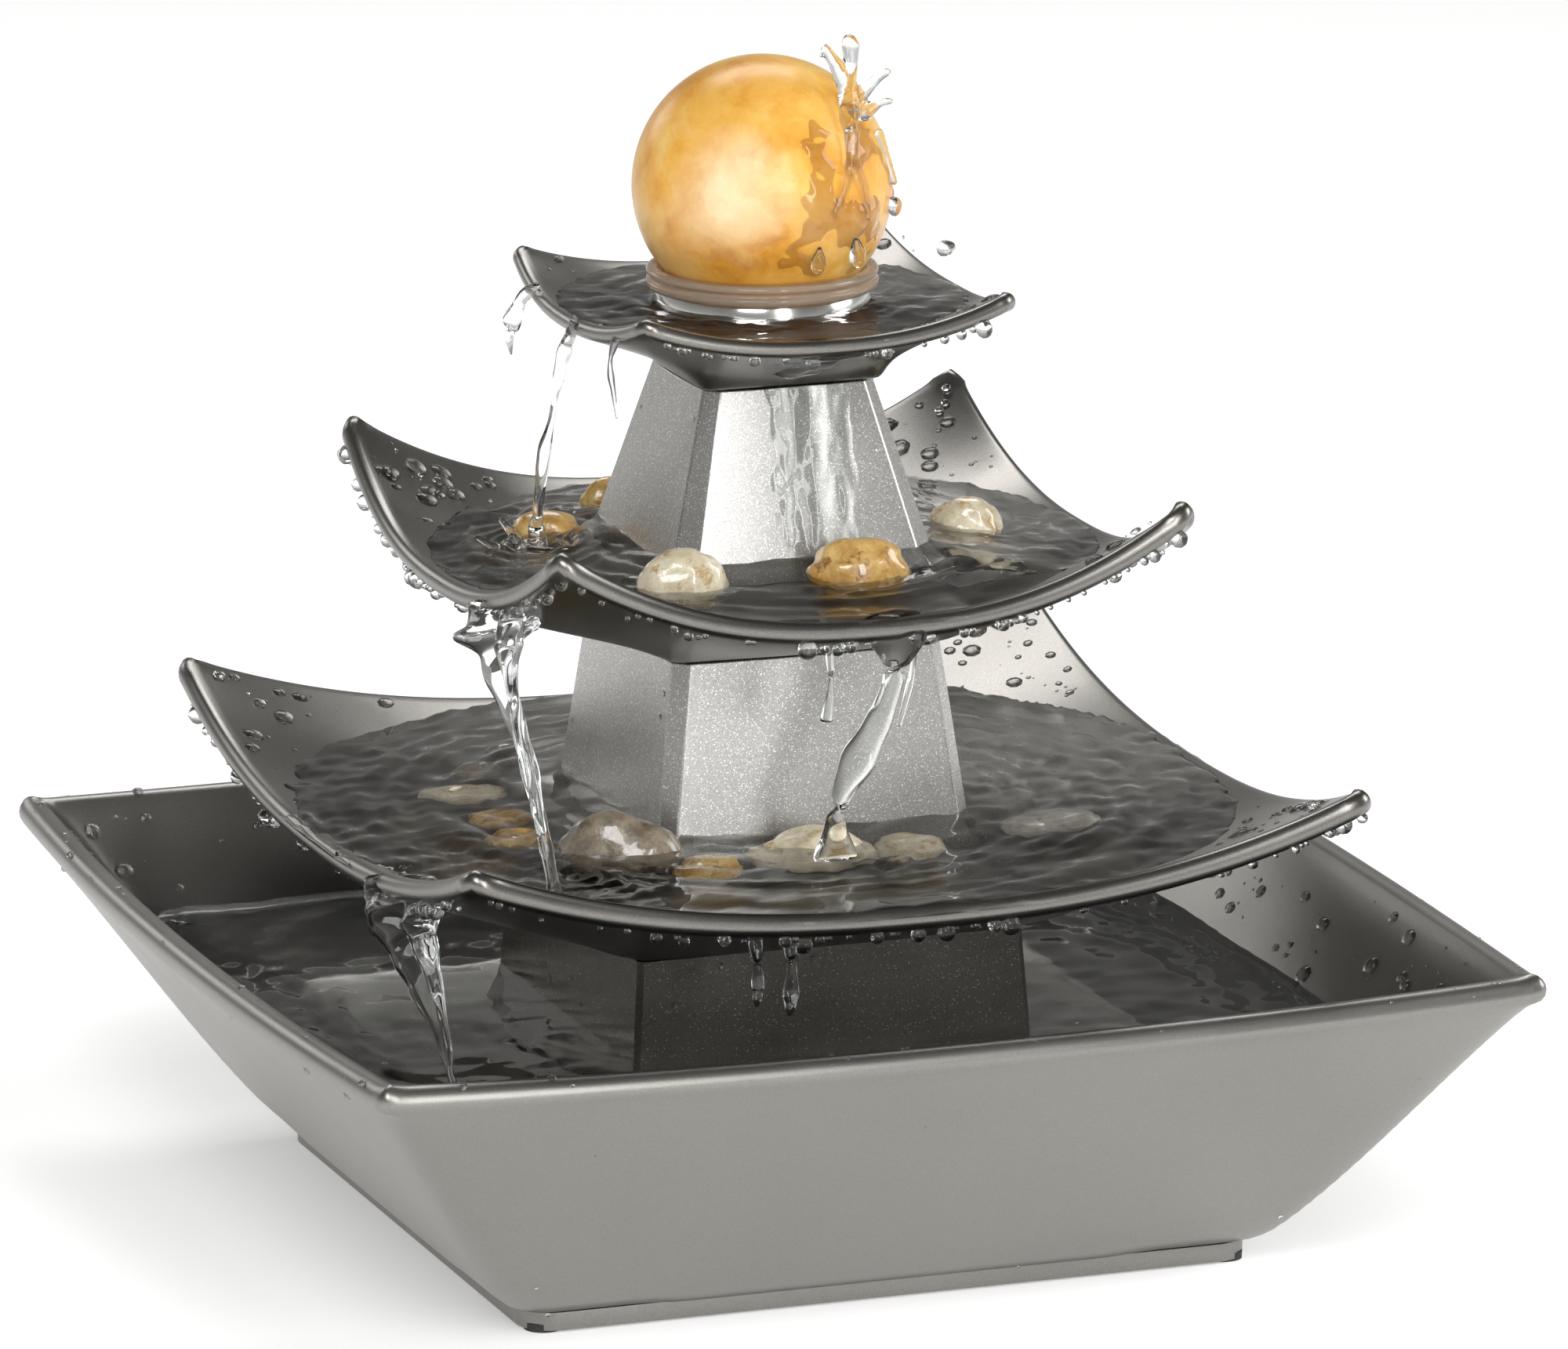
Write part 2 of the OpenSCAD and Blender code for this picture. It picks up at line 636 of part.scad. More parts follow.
basin();
foot_pads();
cord_bung();
pump_cover();
tier_large();
column_lower();
tier_medium();
column_upper();
tier_small();
ball_collar();
ball_cup();
ball();
supply_tube();
tube_grommets();
outlet_adaptor();
pump_body();
pump_gland();
suction_cups();
pump_strainer();
flow_dial();
impeller_cover();
impeller();
impeller_shaft();
shaft_bushes();
for (i = [0 : len(PEBBLES) - 1])
    pebble(i);
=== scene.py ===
import json
import math
import random

import bmesh
import bpy
from mathutils import Matrix, Vector, noise


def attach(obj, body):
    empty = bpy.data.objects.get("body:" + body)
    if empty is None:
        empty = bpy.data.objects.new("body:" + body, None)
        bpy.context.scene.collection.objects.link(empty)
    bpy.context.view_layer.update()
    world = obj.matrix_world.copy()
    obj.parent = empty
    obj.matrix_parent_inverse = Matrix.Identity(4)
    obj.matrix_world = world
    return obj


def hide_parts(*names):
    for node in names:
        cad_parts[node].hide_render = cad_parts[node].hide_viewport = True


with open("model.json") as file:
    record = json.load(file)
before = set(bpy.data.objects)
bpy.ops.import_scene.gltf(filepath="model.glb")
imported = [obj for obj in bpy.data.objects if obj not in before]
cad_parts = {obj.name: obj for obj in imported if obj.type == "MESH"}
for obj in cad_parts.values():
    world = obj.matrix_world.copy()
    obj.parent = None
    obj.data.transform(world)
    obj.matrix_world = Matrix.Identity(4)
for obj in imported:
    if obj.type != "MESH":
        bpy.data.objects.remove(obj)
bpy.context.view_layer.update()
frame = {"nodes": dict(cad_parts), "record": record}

# ---- Camera ----
# The view of a fountain that stands on a table: a long lens, a little above the rim of the
# basin and to the left of its front, far enough away for edges to stay nearly parallel.
VIEW_YAW = math.radians(20.0)
VIEW_PITCH = math.radians(13.76)

camera_data = bpy.data.cameras.new("camera")
camera_data.sensor_width = 36
camera_data.lens = 290.3
camera_data.clip_end = 50
camera = bpy.data.objects.new("camera", camera_data)
camera.location = (-0.8837, -2.4413, 0.7507)
camera.rotation_euler = (math.pi / 2 - VIEW_PITCH, 0, -VIEW_YAW)
bpy.context.scene.collection.objects.link(camera)
bpy.context.scene.camera = camera
bpy.context.scene.view_settings.view_transform = "Standard"


# ---- Studio ----
# A white floor and backdrop, five soft boxes, and a room that only reflections see. The room
# is pale near the floor and dark overhead, which gives wet metal its contrast.
def add_mesh(name, bm, material=None, smooth=True):
    """Turn a bmesh into an object at the origin."""
    mesh = bpy.data.meshes.new(name)
    bm.to_mesh(mesh)
    bm.free()
    obj = bpy.data.objects.new(name, mesh)
    bpy.context.scene.collection.objects.link(obj)
    if smooth:
        mesh.shade_smooth()
    if material:
        mesh.materials.append(material)
    return obj


def new_material(name):
    """A material with its Principled shader, node tree and Object coordinates."""
    material = bpy.data.materials.new(name)
    material.use_nodes = True
    nodes = material.node_tree.nodes
    shader = nodes["Principled BSDF"]
    coords = nodes.new("ShaderNodeTexCoord")
    return material, material.node_tree, shader, coords.outputs["Object"]


def ramp(tree, fac, stops):
    """A colour ramp from (position, colour) stops."""
    node = tree.nodes.new("ShaderNodeValToRGB")
    elements = node.color_ramp.elements
    while len(elements) < len(stops):
        elements.new(0.5)
    for element, (position, colour) in zip(elements, stops):
        element.position = position
        element.color = (*colour, 1)
    tree.links.new(fac, node.inputs["Fac"])
    return node.outputs["Color"]


def mix_colour(tree, fac, a, b):
    """A colour Mix node; fac, a and b are sockets or values."""
    node = tree.nodes.new("ShaderNodeMix")
    node.data_type = "RGBA"
    for value, socket in ((fac, node.inputs["Factor"]), (a, node.inputs["A"]), (b, node.inputs["B"])):
        if isinstance(value, (int, float)):
            socket.default_value = value
        elif isinstance(value, tuple):
            socket.default_value = (*value, 1)
        else:
            tree.links.new(value, socket)
    return node.outputs["Result"]


def soft_box(name, place, target, size, power):
    """A rectangular area light aimed at a point."""
    light = bpy.data.lights.new(name, "AREA")
    light.shape = "RECTANGLE"
    light.size, light.size_y = size
    light.energy = power
    lamp = bpy.data.objects.new(name, light)
    lamp.location = place
    lamp.rotation_euler = (Vector(target) - Vector(place)).to_track_quat("-Z", "Y").to_euler()
    lamp.visible_camera = False
    bpy.context.scene.collection.objects.link(lamp)


world = bpy.data.worlds.new("studio")
world.use_nodes = True
bpy.context.scene.world = world
room = world.node_tree
sky_coords = room.nodes.new("ShaderNodeTexCoord")
sky_axes = room.nodes.new("ShaderNodeSeparateXYZ")
room.links.new(sky_coords.outputs["Generated"], sky_axes.inputs[0])
sky = ramp(room, sky_axes.outputs["Z"], [
    (0.0, (0.75, 0.75, 0.74)), (0.12, (0.34, 0.335, 0.32)), (0.45, (0.16, 0.158, 0.15)),
    (1.0, (0.10, 0.10, 0.10))])
light_path = room.nodes.new("ShaderNodeLightPath")
seen = mix_colour(room, light_path.outputs["Is Camera Ray"], sky, (1, 1, 1))
room.links.new(seen, room.nodes["Background"].inputs["Color"])

floor_bm = bmesh.new()
bmesh.ops.create_grid(floor_bm, x_segments=1, y_segments=1, size=6)
floor_material, _, floor_shader, _ = new_material("floor")
floor_shader.inputs["Base Color"].default_value = (0.9, 0.9, 0.9, 1)
floor_shader.inputs["Roughness"].default_value = 0.9
floor_shader.inputs["Specular IOR Level"].default_value = 0.0
floor_shader.inputs["Emission Color"].default_value = (1, 1, 1, 1)
floor_shader.inputs["Emission Strength"].default_value = 0.35
floor = add_mesh("floor", floor_bm, floor_material, smooth=False)

soft_box("key", (-0.9, -1.5, 1.5), (0, 0, 0.1), (0.9, 0.9), 26)
soft_box("front_strip", (0.08, -1.6, 0.75), (0, 0, 0.12), (0.22, 1.1), 10.5)
soft_box("right_fill", (1.5, -0.4, 0.9), (0, 0, 0.1), (0.7, 1.0), 14)
soft_box("top_back", (0.3, 1.2, 1.6), (0, 0, 0.1), (1.2, 0.6), 12)
soft_box("back_card", (-0.52, 1.3, 0.60), (0, 0, 0.05), (0.50, 0.36), 1.4)


# ---- Metal coats ----
# Basin, dishes, columns and cover are sprayed with a metallic coat: satin pewter on the
# shells, blasted silver on the columns, dark bronze on the cover. Sizes are in millimetres.
MM = 0.001


def value_group(name, inputs, outputs):
    """An empty shader node group with float inputs {name: default} and float outputs."""
    group = bpy.data.node_groups.new(name, "ShaderNodeTree")
    for label, default in inputs.items():
        socket = group.interface.new_socket(label, in_out="INPUT", socket_type="NodeSocketFloat")
        socket.default_value = default
    group.interface.new_socket("Vector", in_out="INPUT", socket_type="NodeSocketVector")
    for label in outputs:
        group.interface.new_socket(label, in_out="OUTPUT", socket_type="NodeSocketFloat")
    source = group.nodes.new("NodeGroupInput")
    sink = group.nodes.new("NodeGroupOutput")
    return group, source, sink


def noise_node(tree, vector, scale, detail=2.0, rough=0.5):
    """A Noise Texture node."""
    node = tree.nodes.new("ShaderNodeTexNoise")
    node.inputs["Scale"].default_value = scale
    node.inputs["Detail"].default_value = detail
    node.inputs["Roughness"].default_value = rough
    tree.links.new(vector, node.inputs["Vector"])
    return node


def math_node(tree, operation, a, b=None, clamp=False):
    """A Math node; a and b are sockets or numbers."""
    node = tree.nodes.new("ShaderNodeMath")
    node.operation = operation
    node.use_clamp = clamp
    for value, socket in ((a, node.inputs[0]), (b, node.inputs[1])):
        if value is None:
            continue
        if isinstance(value, (int, float)):
            socket.default_value = value
        else:
            tree.links.new(value, socket)
    return node.outputs[0]


# Fine grain of a sprayed metallic coat: a speckle, a slow cloudiness and sparse bright flakes
grain, grain_in, grain_out = value_group(
    "coat_grain", {"Grain Size": 0.35, "Flakes": 0.1}, ("Speckle", "Cloud", "Flake", "Height"))
per_metre = math_node(grain, "DIVIDE", 1000.0, grain_in.outputs["Grain Size"])
fine = noise_node(grain, grain_in.outputs["Vector"], 1, 2, 0.6)
grain.links.new(per_metre, fine.inputs["Scale"])
cloud = noise_node(grain, grain_in.outputs["Vector"], 22, 3, 0.5)
cells = grain.nodes.new("ShaderNodeTexVoronoi")
grain.links.new(grain_in.outputs["Vector"], cells.inputs["Vector"])
grain.links.new(per_metre, cells.inputs["Scale"])
cell_axes = grain.nodes.new("ShaderNodeSeparateColor")
grain.links.new(cells.outputs["Color"], cell_axes.inputs[0])
rare = math_node(grain, "SUBTRACT", 1.0, grain_in.outputs["Flakes"])
flake = math_node(grain, "GREATER_THAN", cell_axes.outputs[0], rare)
grain.links.new(fine.outputs["Fac"], grain_out.inputs["Speckle"])
grain.links.new(cloud.outputs["Fac"], grain_out.inputs["Cloud"])
grain.links.new(flake, grain_out.inputs["Flake"])
grain.links.new(math_node(grain, "MULTIPLY", cell_axes.outputs[1], fine.outputs["Fac"]),
                grain_out.inputs["Height"])


CLOUD_SHARE = 0.25
FLAKE_LIFT = 0.25
ROUGH_SPREAD = 0.14


def bump_from(tree, height, shader, strength, distance):
    """A Bump node between a height and a shader's normal; distance in metres."""
    relief = tree.nodes.new("ShaderNodeBump")
    relief.inputs["Strength"].default_value = strength
    relief.inputs["Distance"].default_value = distance
    tree.links.new(height, relief.inputs["Height"])
    tree.links.new(relief.outputs["Normal"], shader.inputs["Normal"])


def use_group(tree, group_tree, vector):
    """A node that places a shader node group, fed with coordinates."""
    node = tree.nodes.new("ShaderNodeGroup")
    node.node_tree = group_tree
    tree.links.new(vector, node.inputs["Vector"])
    return node


def metal_coat(name, dark, light, rough, grain_mm, flakes, bump):
    """Metallic coat whose colour runs from dark to light with its speckle."""
    material, tree, shader, vector = new_material(name)
    group = use_group(tree, grain, vector)
    group.inputs["Grain Size"].default_value = grain_mm
    group.inputs["Flakes"].default_value = flakes
    tones = [(0.3, dark), (0.7, light)]
    base = mix_colour(tree, CLOUD_SHARE, ramp(tree, group.outputs["Speckle"], tones),
                      ramp(tree, group.outputs["Cloud"], tones))
    base = mix_colour(tree, group.outputs["Flake"], base,
                      tuple(min(1.0, c + FLAKE_LIFT) for c in light))
    tree.links.new(base, shader.inputs["Base Color"])
    shader.inputs["Metallic"].default_value = 1.0
    roughness = math_node(tree, "MULTIPLY_ADD", group.outputs["Cloud"], ROUGH_SPREAD)
    roughness.node.inputs[2].default_value = rough - ROUGH_SPREAD / 2
    tree.links.new(roughness, shader.inputs["Roughness"])
    bump_from(tree, group.outputs["Height"], shader, bump, grain_mm * MM * 0.5)
    return material


basin_coat = metal_coat("basin_coat", dark=(0.235, 0.228, 0.212), light=(0.31, 0.30, 0.28),
                        rough=0.36, grain_mm=0.30, flakes=0.0, bump=0.10)
# The dishes' copy of the pewter coat is painted darker than the basin's: painted shade for the dark
# reflections in and under the dishes.
dish_coat_painted_darker = metal_coat("dish_coat_painted_darker", dark=(0.175, 0.168, 0.155), light=(0.265, 0.255, 0.236),
                       rough=0.30, grain_mm=0.30, flakes=0.0, bump=0.10)
column_coat = metal_coat("column_coat", dark=(0.22, 0.216, 0.206), light=(0.66, 0.65, 0.625),
                         rough=0.30, grain_mm=0.20, flakes=0.06, bump=0.4)
cover_coat = metal_coat("cover_coat", dark=(0.10, 0.095, 0.088), light=(0.27, 0.255, 0.23),
                        rough=0.34, grain_mm=0.22, flakes=0.02, bump=0.35)


# ---- Basin ----
# A square cast bowl with bowed, flaring sides and a half-round rim, on a low square foot ring.
# Bowl and foot are one casting, coated outside and in; it holds the water and the pump.
def curve_at(curve, u):
    """Share of the run and of the rise at u along a wall's cubic curve."""
    (ax, ay), (bx, by) = curve
    a, b, c = 3 * u * (1 - u) ** 2, 3 * u * u * (1 - u), u ** 3
    return a * ax + b * bx + c, a * ay + b * by + c


class Shell:
    """An upswept square shell in millimetres, laid over a square from -1 to 1."""

    FLOOR_CORNER = 2
    DIP_POWER = 2.4
    STEP_IN = 0.99
    STEP_ROUND = 0.02
    HOLE_SHARE = 0.1
    FLOOR_SHARE = 0.9
    TINY = 1e-9

    def __init__(self, z0, half0, half1, rise, dip, bow, wall, floor, corner, curve, hole=0.0):
        """Heights z0 and rise, half widths at foot and rim, and how far rims dip and bow."""
        self.z0, self.half0, self.dip, self.bow = z0, half0, dip, bow
        self.wall, self.floor, self.corner, self.curve, self.hole = wall, floor, corner, curve, hole
        end = Vector(curve_at(curve, 1)) - Vector(curve_at(curve, 0.999))
        tip = Vector((end.x * (half1 - half0), end.y * (rise - dip / 2))).normalized()
        self.edge = half1 - wall / 2 * (1 - tip.y)
        self.edge_rise = rise - wall / 2 * (1 + tip.x)
        self.floor_share = self.FLOOR_SHARE * half0 / half1

    def outer(self, u, v):
        """Point of the outer surface."""
        reach = max(abs(u), abs(v), self.TINY)
        aside = min(abs(u), abs(v)) / reach
        if reach <= self.floor_share:
            across = max(0.0, (reach - self.HOLE_SHARE) / (self.floor_share - self.HOLE_SHARE))
            square = Vector((u, v)) / reach * self.half0
            ring = Vector((u, v)).normalized() * self.hole
            return Vector((*ring.lerp(square, across), self.z0))
        run, lift = curve_at(self.curve, (reach - self.floor_share) / (1 - self.floor_share))
        half = self.half0 + (self.edge - self.half0) * run
        corner = self.FLOOR_CORNER + (self.corner - self.FLOOR_CORNER) * lift
        stretch = 1.0
        if aside > (half - corner) / half:
            inner = half - corner
            b, a = inner * (1 + aside), 1 + aside * aside
            root = b * b - a * (2 * inner * inner - corner * corner)
            stretch = (b + math.sqrt(max(0.0, root))) / a / half
        x, y = u / reach * half * stretch, v / reach * half * stretch
        bow = self.bow * lift * (1 - aside * aside)
        if abs(u) >= abs(v):
            x += math.copysign(bow, u)
        if abs(v) >= abs(u):
            y += math.copysign(bow, v)
        rise = self.edge_rise - self.dip * (1 - aside ** self.DIP_POWER)
        return Vector((x, y, self.z0 + rise * lift))

    def inward(self, u, v):
        """Unit vector across the wall, from the outer surface to the inner one."""
        out = self.outer(u, v) - self.outer(u * self.STEP_IN, v * self.STEP_IN)
        left = self.outer(*self.beside(u, v, self.STEP_ROUND))
        right = self.outer(*self.beside(u, v, -self.STEP_ROUND))
        across = out.cross(left - right).normalized()
        return across if across.z > 0 else -across

    @staticmethod
    def beside(u, v, turn):
        """The place a small turn round the middle from (u, v), at the same reach."""
        a = u * math.cos(turn) - v * math.sin(turn)
        b = u * math.sin(turn) + v * math.cos(turn)
        share = max(abs(u), abs(v)) / max(abs(a), abs(b), Shell.TINY)
        return a * share, b * share

    def inner(self, u, v):
        """Point of the inner surface, a wall's thickness inside the outer one."""
        point = self.outer(u, v) + self.inward(u, v) * self.wall
        point.z = max(point.z, self.z0 + self.floor)
        return point

    def bed(self, u, v):
        """Point near the inner surface that eases from over the floor to inside the wall."""
        start = self.floor_share
        ease = min(1.0, max(0.0, (max(abs(u), abs(v)) - start) / (0.5 * (1 - start))))
        ease *= ease * (3 - 2 * ease)
        rise = Vector((0, 0, self.floor)).lerp(self.inward(u, v) * self.wall, ease)
        point = self.outer(u, v) + rise
        point.z = max(point.z, self.z0 + self.floor)
        return point

    def brim(self, u, v, over):
        """Point of the half-round brim; over runs from 0 at the outer edge to 1 at the inner."""
        reach = max(abs(u), abs(v))
        u, v = u / reach, v / reach
        across, edge = self.inward(u, v), self.outer(u, v)
        ahead = (edge - self.outer(u * self.STEP_IN, v * self.STEP_IN)).normalized()
        angle = math.pi * over
        return edge + self.wall / 2 * (across * (1 - math.cos(angle)) + ahead * math.sin(angle))


FOLD_SHARE, FOLD_FROM = 0.62, 0.3
RIM_FROM, RIM_CUTS = 0.99, 7
SMOOTHING = 4


def shell_mesh(shell, steps, relax):
    """A closed shell: a grid shaped as its outer surface, thickened, with a half-round brim."""
    bm = bmesh.new()
    bmesh.ops.create_grid(bm, x_segments=steps, y_segments=steps, size=1)
    if shell.hole:
        middle = [f for f in bm.faces
                  if max(abs(c) for c in f.calc_center_median()) < shell.HOLE_SHARE]
        bmesh.ops.delete(bm, geom=middle, context="FACES")
    place = bm.verts.layers.float_vector.new("place")
    side = bm.verts.layers.float.new("side")
    for vert in bm.verts:
        vert[place] = vert.co
        vert.co = shell.outer(vert.co.x, vert.co.y) * MM
    inside = [v for v in bm.verts if not v.is_boundary]
    folds = []
    for vert in inside:
        near, far = sorted((abs(vert[place].x), abs(vert[place].y)))
        if near > FOLD_SHARE * far > FOLD_FROM:
            folds.append(vert)
    for verts, passes in ((folds, relax), (inside, SMOOTHING)):
        for _ in range(passes):
            bmesh.ops.smooth_vert(bm, verts=verts, factor=0.5, use_axis_x=True, use_axis_y=True,
                                  use_axis_z=True)
    bmesh.ops.recalc_face_normals(bm, faces=bm.faces)
    if sum(f.normal.z for f in bm.faces) > 0:
        bmesh.ops.reverse_faces(bm, faces=bm.faces)
    walls = bmesh.ops.solidify(bm, geom=bm.faces[:], thickness=shell.wall * MM)["geom"]
    inner_verts = {v for v in walls if isinstance(v, bmesh.types.BMVert)}
    for vert in inner_verts:
        vert[side] = 1
        vert.co.z = max(vert.co.z, (shell.z0 + shell.floor) * MM)
    rungs = [e for e in bm.edges if (e.verts[0] in inner_verts) != (e.verts[1] in inner_verts)
             and max(abs(c) for c in e.verts[0][place]) > RIM_FROM]
    bmesh.ops.subdivide_edges(bm, edges=rungs, cuts=RIM_CUTS, use_grid_fill=True)
    for vert in bm.verts:
        if max(abs(c) for c in vert[place]) > RIM_FROM:
            vert.co = shell.brim(vert[place].x, vert[place].y, vert[side]) * MM
    return bm


def round_edges(obj, width, segments, angle=50, harden=False):
    """A live Bevel on an object's sharp edges, width in millimetres."""
    bevel = obj.modifiers.new("rounding", "BEVEL")
    bevel.width = width * MM
    bevel.segments = segments
    bevel.limit_method = "ANGLE"
    bevel.angle_limit = math.radians(angle)
    bevel.harden_normals = harden


BASIN = Shell(z0=3.9, half0=83, half1=127, rise=65.1, dip=1.6, bow=4.6, wall=6.5, floor=6.5,
              corner=2.5, curve=((0.34, 0.26), (0.66, 0.68)))
FOOT_HALF, FOOT_WIDTH, FOOT_CORNER = 80.5, 10, 8
FOOT_LOW, FOOT_HIGH = 0.5, 4.4


def foot_mesh():
    """A square ring with rounded corners."""
    bm = bmesh.new()
    corners = bmesh.ops.create_grid(bm, x_segments=1, y_segments=1, size=FOOT_HALF * MM)["verts"]
    bmesh.ops.translate(bm, verts=corners, vec=(0, 0, FOOT_LOW * MM))
    bmesh.ops.bevel(bm, geom=corners, offset=FOOT_CORNER * MM, segments=8, profile=0.5,
                    affect="VERTICES", material=-1)
    face = max(bm.faces, key=lambda f: f.calc_area())
    ring = bmesh.ops.inset_region(bm, faces=[face], thickness=FOOT_WIDTH * MM, use_boundary=True,
                                  use_even_offset=True)["faces"]
    bmesh.ops.delete(bm, geom=[face], context="FACES")
    top = bmesh.ops.extrude_face_region(bm, geom=ring)["geom"]
    bmesh.ops.translate(bm, verts=[g for g in top if isinstance(g, bmesh.types.BMVert)],
                        vec=(0, 0, (FOOT_HIGH - FOOT_LOW) * MM))
    bmesh.ops.recalc_face_normals(bm, faces=bm.faces)
    return bm


foot_piece = add_mesh("basin_foot", foot_mesh(), basin_coat)
round_edges(foot_piece, 1.2, 3)
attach(foot_piece, "basin")

basin_piece = add_mesh("basin_bowl", shell_mesh(BASIN, steps=110, relax=6), basin_coat)
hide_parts("basin")
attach(basin_piece, "basin")


# ---- Dishes ----
# Three cast dishes with swept-up corners and half-round rims, in the basin's pewter coat painted darker:
# painted shade for the dark reflections in and under them. Each is bonded to the column under it, and
# the largest stands on the pump cover.
DISHES = {
    "tier_large": Shell(z0=66.5, half0=43, half1=99.5, rise=38, dip=16, bow=-0.4, wall=5, floor=5,
                        corner=3.5, curve=((0.33, 0.27), (0.67, 0.63)), hole=9),
    "tier_medium": Shell(z0=126.4, half0=30.4, half1=70.8, rise=35.4, dip=19.2, bow=-2, wall=4.6,
                         floor=10.6, corner=3.5, curve=((0.33, 0.28), (0.72, 0.60)), hole=9),
    "tier_small": Shell(z0=181.5, half0=20, half1=41.6, rise=21, dip=6.4, bow=2.7, wall=3.6,
                        floor=3.6, corner=2.5, curve=((0.10, 0.38), (0.50, 0.64)), hole=9),
}
DISH_STEPS = {"tier_large": 104, "tier_medium": 88, "tier_small": 72}
DISH_RELAX = 50

for tier, shell in DISHES.items():
    dish = add_mesh(tier + "_dish", shell_mesh(shell, DISH_STEPS[tier], DISH_RELAX), dish_coat_painted_darker)
    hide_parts(tier)
    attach(dish, "tower")


# ---- Columns and pump cover ----
# Square tapered tubes with chamfered corners and slightly crowned sides, blasted and sprayed
# silver, and bonded between the dishes. The cover below hides the pump and carries them all.
COLUMNS = {
    "column_lower": ((36.8, 3.2, 71.5), (29.9, 3.0, 126.4)),
    "column_upper": ((31.3, 4.8, 137.0), (18.8, 3.0, 181.5)),
}
COLUMN_WALL = 3
COLUMN_CROWN = 0.8
COLUMN_EDGE = 0.55


def column_mesh(low, high, steps=12):
    """A chamfered square tube between two (half width, chamfer, height) stations."""
    bm = bmesh.new()
    rings = []
    for half, chamfer, z in (low, high):
        ring = []
        for side in range(4):
            turn = Matrix.Rotation(math.pi / 2 * side, 3, "Z")
            for step in range(steps + 1):
                along = 2 * step / steps - 1
                out = half + COLUMN_CROWN * (1 - along * along)
                ring.append(bm.verts.new(turn @ Vector((out, along * (half - chamfer), z)) * MM))
        rings.append([bm.edges.new((ring[i - 1], ring[i])) for i in range(len(ring))])
    bmesh.ops.bridge_loops(bm, edges=rings[0] + rings[1])
    bmesh.ops.recalc_face_normals(bm, faces=bm.faces)
    bmesh.ops.solidify(bm, geom=bm.faces[:], thickness=COLUMN_WALL * MM)
    bmesh.ops.recalc_face_normals(bm, faces=bm.faces)
    return bm


def finish_node(node, material):
    """Gives a part that keeps its own solid its finish."""
    slots = frame["nodes"][node].data.materials
    slots.clear()
    slots.append(material)


for node, (low, high) in COLUMNS.items():
    column = add_mesh(node + "_tube", column_mesh(low, high), column_coat)
    round_edges(column, COLUMN_EDGE, 3, 25, harden=True)
    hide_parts(node)
    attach(column, "tower")
finish_node("pump_cover", cover_coat)


# ---- Ball, cup and collar ----
# A polished honey onyx ball floats on the water in a clear acrylic cup. The cup plugs into a
# bright metal collar in the small dish and lifts out with the ball.
BALL_R = 27.4
BALL_Z = 220.6

CREAM_SHARE = 0.3
PATCH_MIDDLE = (-0.0070, -0.0140, 0.2350)
PATCH_REACH = 0.017

onyx, onyx_tree, onyx_shader, onyx_at = new_material("honey_onyx")
warp = noise_node(onyx_tree, onyx_at, 45, 4, 0.6)
shift = onyx_tree.nodes.new("ShaderNodeVectorMath")
shift.operation = "MULTIPLY_ADD"
onyx_tree.links.new(warp.outputs["Color"], shift.inputs[0])
shift.inputs[1].default_value = (0.02, 0.02, 0.02)
onyx_tree.links.new(onyx_at, shift.inputs[2])
honey = noise_node(onyx_tree, shift.outputs[0], 60, 7, 0.62)
stone_colour = ramp(onyx_tree, honey.outputs["Fac"], [
    (0.30, (0.52, 0.20, 0.02)), (0.42, (0.70, 0.33, 0.045)), (0.54, (0.78, 0.43, 0.085)),
    (0.68, (0.83, 0.55, 0.17)), (0.82, (0.90, 0.74, 0.42))])
clouds = noise_node(onyx_tree, shift.outputs[0], 26, 3, 0.55)
cream = ramp(onyx_tree, clouds.outputs["Fac"], [(0.52, (0, 0, 0)), (0.72, (1, 1, 1))])
cream = math_node(onyx_tree, "MULTIPLY", cream, CREAM_SHARE)
stone_colour = mix_colour(onyx_tree, cream, stone_colour, (0.93, 0.80, 0.55))
# One pale patch on the front, where the stone is nearly cream
patch_from = onyx_tree.nodes.new("ShaderNodeVectorMath")
patch_from.operation = "DISTANCE"
onyx_tree.links.new(shift.outputs[0], patch_from.inputs[0])
patch_from.inputs[1].default_value = PATCH_MIDDLE
patch = math_node(onyx_tree, "DIVIDE", patch_from.outputs["Value"], PATCH_REACH)
patch = ramp(onyx_tree, patch, [(0.25, (1, 1, 1)), (1.0, (0, 0, 0))])
patch = math_node(onyx_tree, "MULTIPLY", patch, honey.outputs["Fac"])
patch = math_node(onyx_tree, "MULTIPLY", patch, 1.1, clamp=True)
stone_colour = mix_colour(onyx_tree, patch, stone_colour, (0.94, 0.84, 0.62))
onyx_tree.links.new(stone_colour, onyx_shader.inputs["Base Color"])
onyx_shader.inputs["Roughness"].default_value = 0.32
onyx_shader.inputs["Specular IOR Level"].default_value = 0.28
onyx_shader.inputs["Coat Weight"].default_value = 0.12
onyx_shader.inputs["Coat Roughness"].default_value = 0.16
onyx_shader.inputs["Subsurface Weight"].default_value = 0.25
onyx_shader.inputs["Subsurface Radius"].default_value = (0.012, 0.006, 0.002)
onyx_shader.inputs["Subsurface Scale"].default_value = 0.5

ball_bm = bmesh.new()
bmesh.ops.create_uvsphere(ball_bm, u_segments=128, v_segments=80, radius=BALL_R * MM)
bmesh.ops.translate(ball_bm, verts=ball_bm.verts, vec=(0, 0, BALL_Z * MM))
ball = add_mesh("onyx_ball", ball_bm, onyx)
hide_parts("ball")
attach(ball, "ball")


